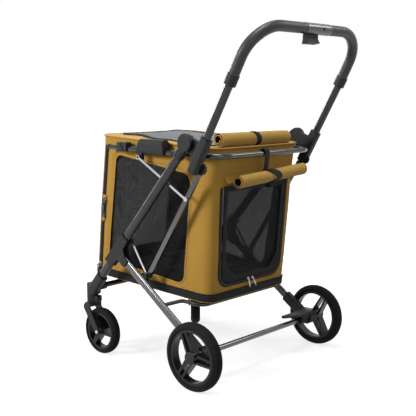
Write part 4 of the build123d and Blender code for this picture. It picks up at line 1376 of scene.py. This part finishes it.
band("front_zip_pull", pull_path, [level_way] * 4, [out_way] * 4, 0.0062, 0.0024, polished,
     slot="gloss_moulding")
print("clip", round(clip_h, 3), "m up the wall")

# %% [markdown]
# ## Cushion
# The floor carries a thin padded mat. Padding swells most in the middle and is held flat at the sewn edge,
# so the mat is blown up by a short cloth simulation from a slightly thinner slab, and then gets its quilted
# lines and a cord round the edge.

# %% Mat: swollen slab, quilting and edge cord
mat_low, mat_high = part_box("floor_cushion")
mat_thick = mat_high.z - mat_low.z - abs(floor_height(mat_high.y) - floor_height(mat_low.y))
mat_points, mat_swell = 64, 0.005
mat_foot, quilt_x, quilt_y, quilt_depth = 0.008, 0.065, 0.08, 0.006


def make_mat():
    """A slab inside the walls, evenly meshed and blown up a little."""
    mesh = bpy.data.meshes.new("floor_mat")
    work = bmesh.new()
    ring_points = [wrap(perimeter * k / mat_points, 0.02, -0.0165).xy for k in range(mat_points)]
    lower = [work.verts.new((*q, floor_height(q.y) + 0.0098)) for q in ring_points]
    upper = [work.verts.new((*q, floor_height(q.y) + 0.0078 + mat_thick * 0.62)) for q in ring_points]
    work.faces.new(lower[::-1])
    work.faces.new(upper)
    for k in range(mat_points):
        after = (k + 1) % mat_points
        work.faces.new((lower[k], lower[after], upper[after], upper[k]))
    work.to_mesh(mesh)
    made = new_object("floor_mat", mesh)
    remesh = made.modifiers.new("even", "REMESH")
    remesh.mode = "VOXEL"
    remesh.voxel_size = 0.006
    apply_modifiers(made)
    rest = [v.co.copy() for v in made.data.vertices]
    puff = made.modifiers.new("puff", "CLOTH")
    puff.settings.use_pressure = True
    puff.settings.uniform_pressure_force = 4.0
    puff.settings.effector_weights.gravity = 0.0
    for frame_number in range(1, 16):
        bpy.context.scene.frame_set(frame_number)
    apply_modifiers(made)
    bpy.context.scene.frame_set(1)
    for vertex, home in zip(made.data.vertices, rest):
        move = vertex.co - home
        vertex.co = home + move.normalized() * min(move.length, mat_swell)
    return made


floor_mat = make_mat()
mat_middle = (mat_low.y + mat_high.y) / 2
for vertex in floor_mat.data.vertices:
    x, y, z = vertex.co
    height = z - floor_height(y) - mat_foot
    if height > mat_thick * 0.4:
        lines = [min(abs(x + quilt_x), abs(x - quilt_x))]
        lines.append(min(abs(y - mat_middle + quilt_y), abs(y - mat_middle - quilt_y)))
        dip = sum(math.exp(-(away / 0.007) ** 2) for away in lines)
        height = min(height - quilt_depth * min(1.0, dip), mat_thick - 0.0005)
    vertex.co.z = floor_height(y) + mat_foot + max(height, 0.0002)
floor_mat.data.materials.append(pad_cloth)
floor_mat.data.shade_smooth()
mat_uv = floor_mat.data.uv_layers.new(name="UVMap")
for corner_loop in floor_mat.data.loops:
    spot = floor_mat.data.vertices[corner_loop.vertex_index].co
    mat_uv.data[corner_loop.index].uv = (spot.x, spot.y + spot.z)
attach(floor_mat, "rail")
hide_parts("floor_cushion")
folding.append(floor_mat)
cord_points, cord_inset = 80, 0.0135
cord_path = [(perimeter * k / cord_points, 0.019) for k in range(cord_points + 1)]
tape("mat_cord", cord_path, lambda p, h, out=0.0: wrap(p, h, out - cord_inset), 0.004, 0.0035, binding_cloth,
     slot="black_webbing")
print("mat", len(floor_mat.data.vertices), "points")

# %% [markdown]
# ## Cloth sizes
# The flat areas of the wall cloth, the roof cloth and the windows are worked out on the flat pattern, and the
# wall cloth's is printed.

# %% Flat sizes
def flat_area(outline, holes=()):
    """Area of an outline less its holes, on the flat pattern."""
    def area(loop):
        return abs(sum(a[0] * b[1] - b[0] * a[1] for a, b in spans(loop, True))) / 2
    return area(outline) - sum(area(hole) for hole in holes)


flat_area(whole_wall, holes)
flat_area(whole_wall, holes)
flat_area(roof_edge, [skylight])
for side, outline in windows.items():
    flat_area(outline)
print("wall cloth", round(flat_area(whole_wall, holes), 3), "m2")

# %% [markdown]
# ## Folding
# The real cabin crumples as the frame folds. Here each cloth piece only gets its own copy of its mesh.

# %% Give each cloth piece its own mesh
for made in folding:
    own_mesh(made)
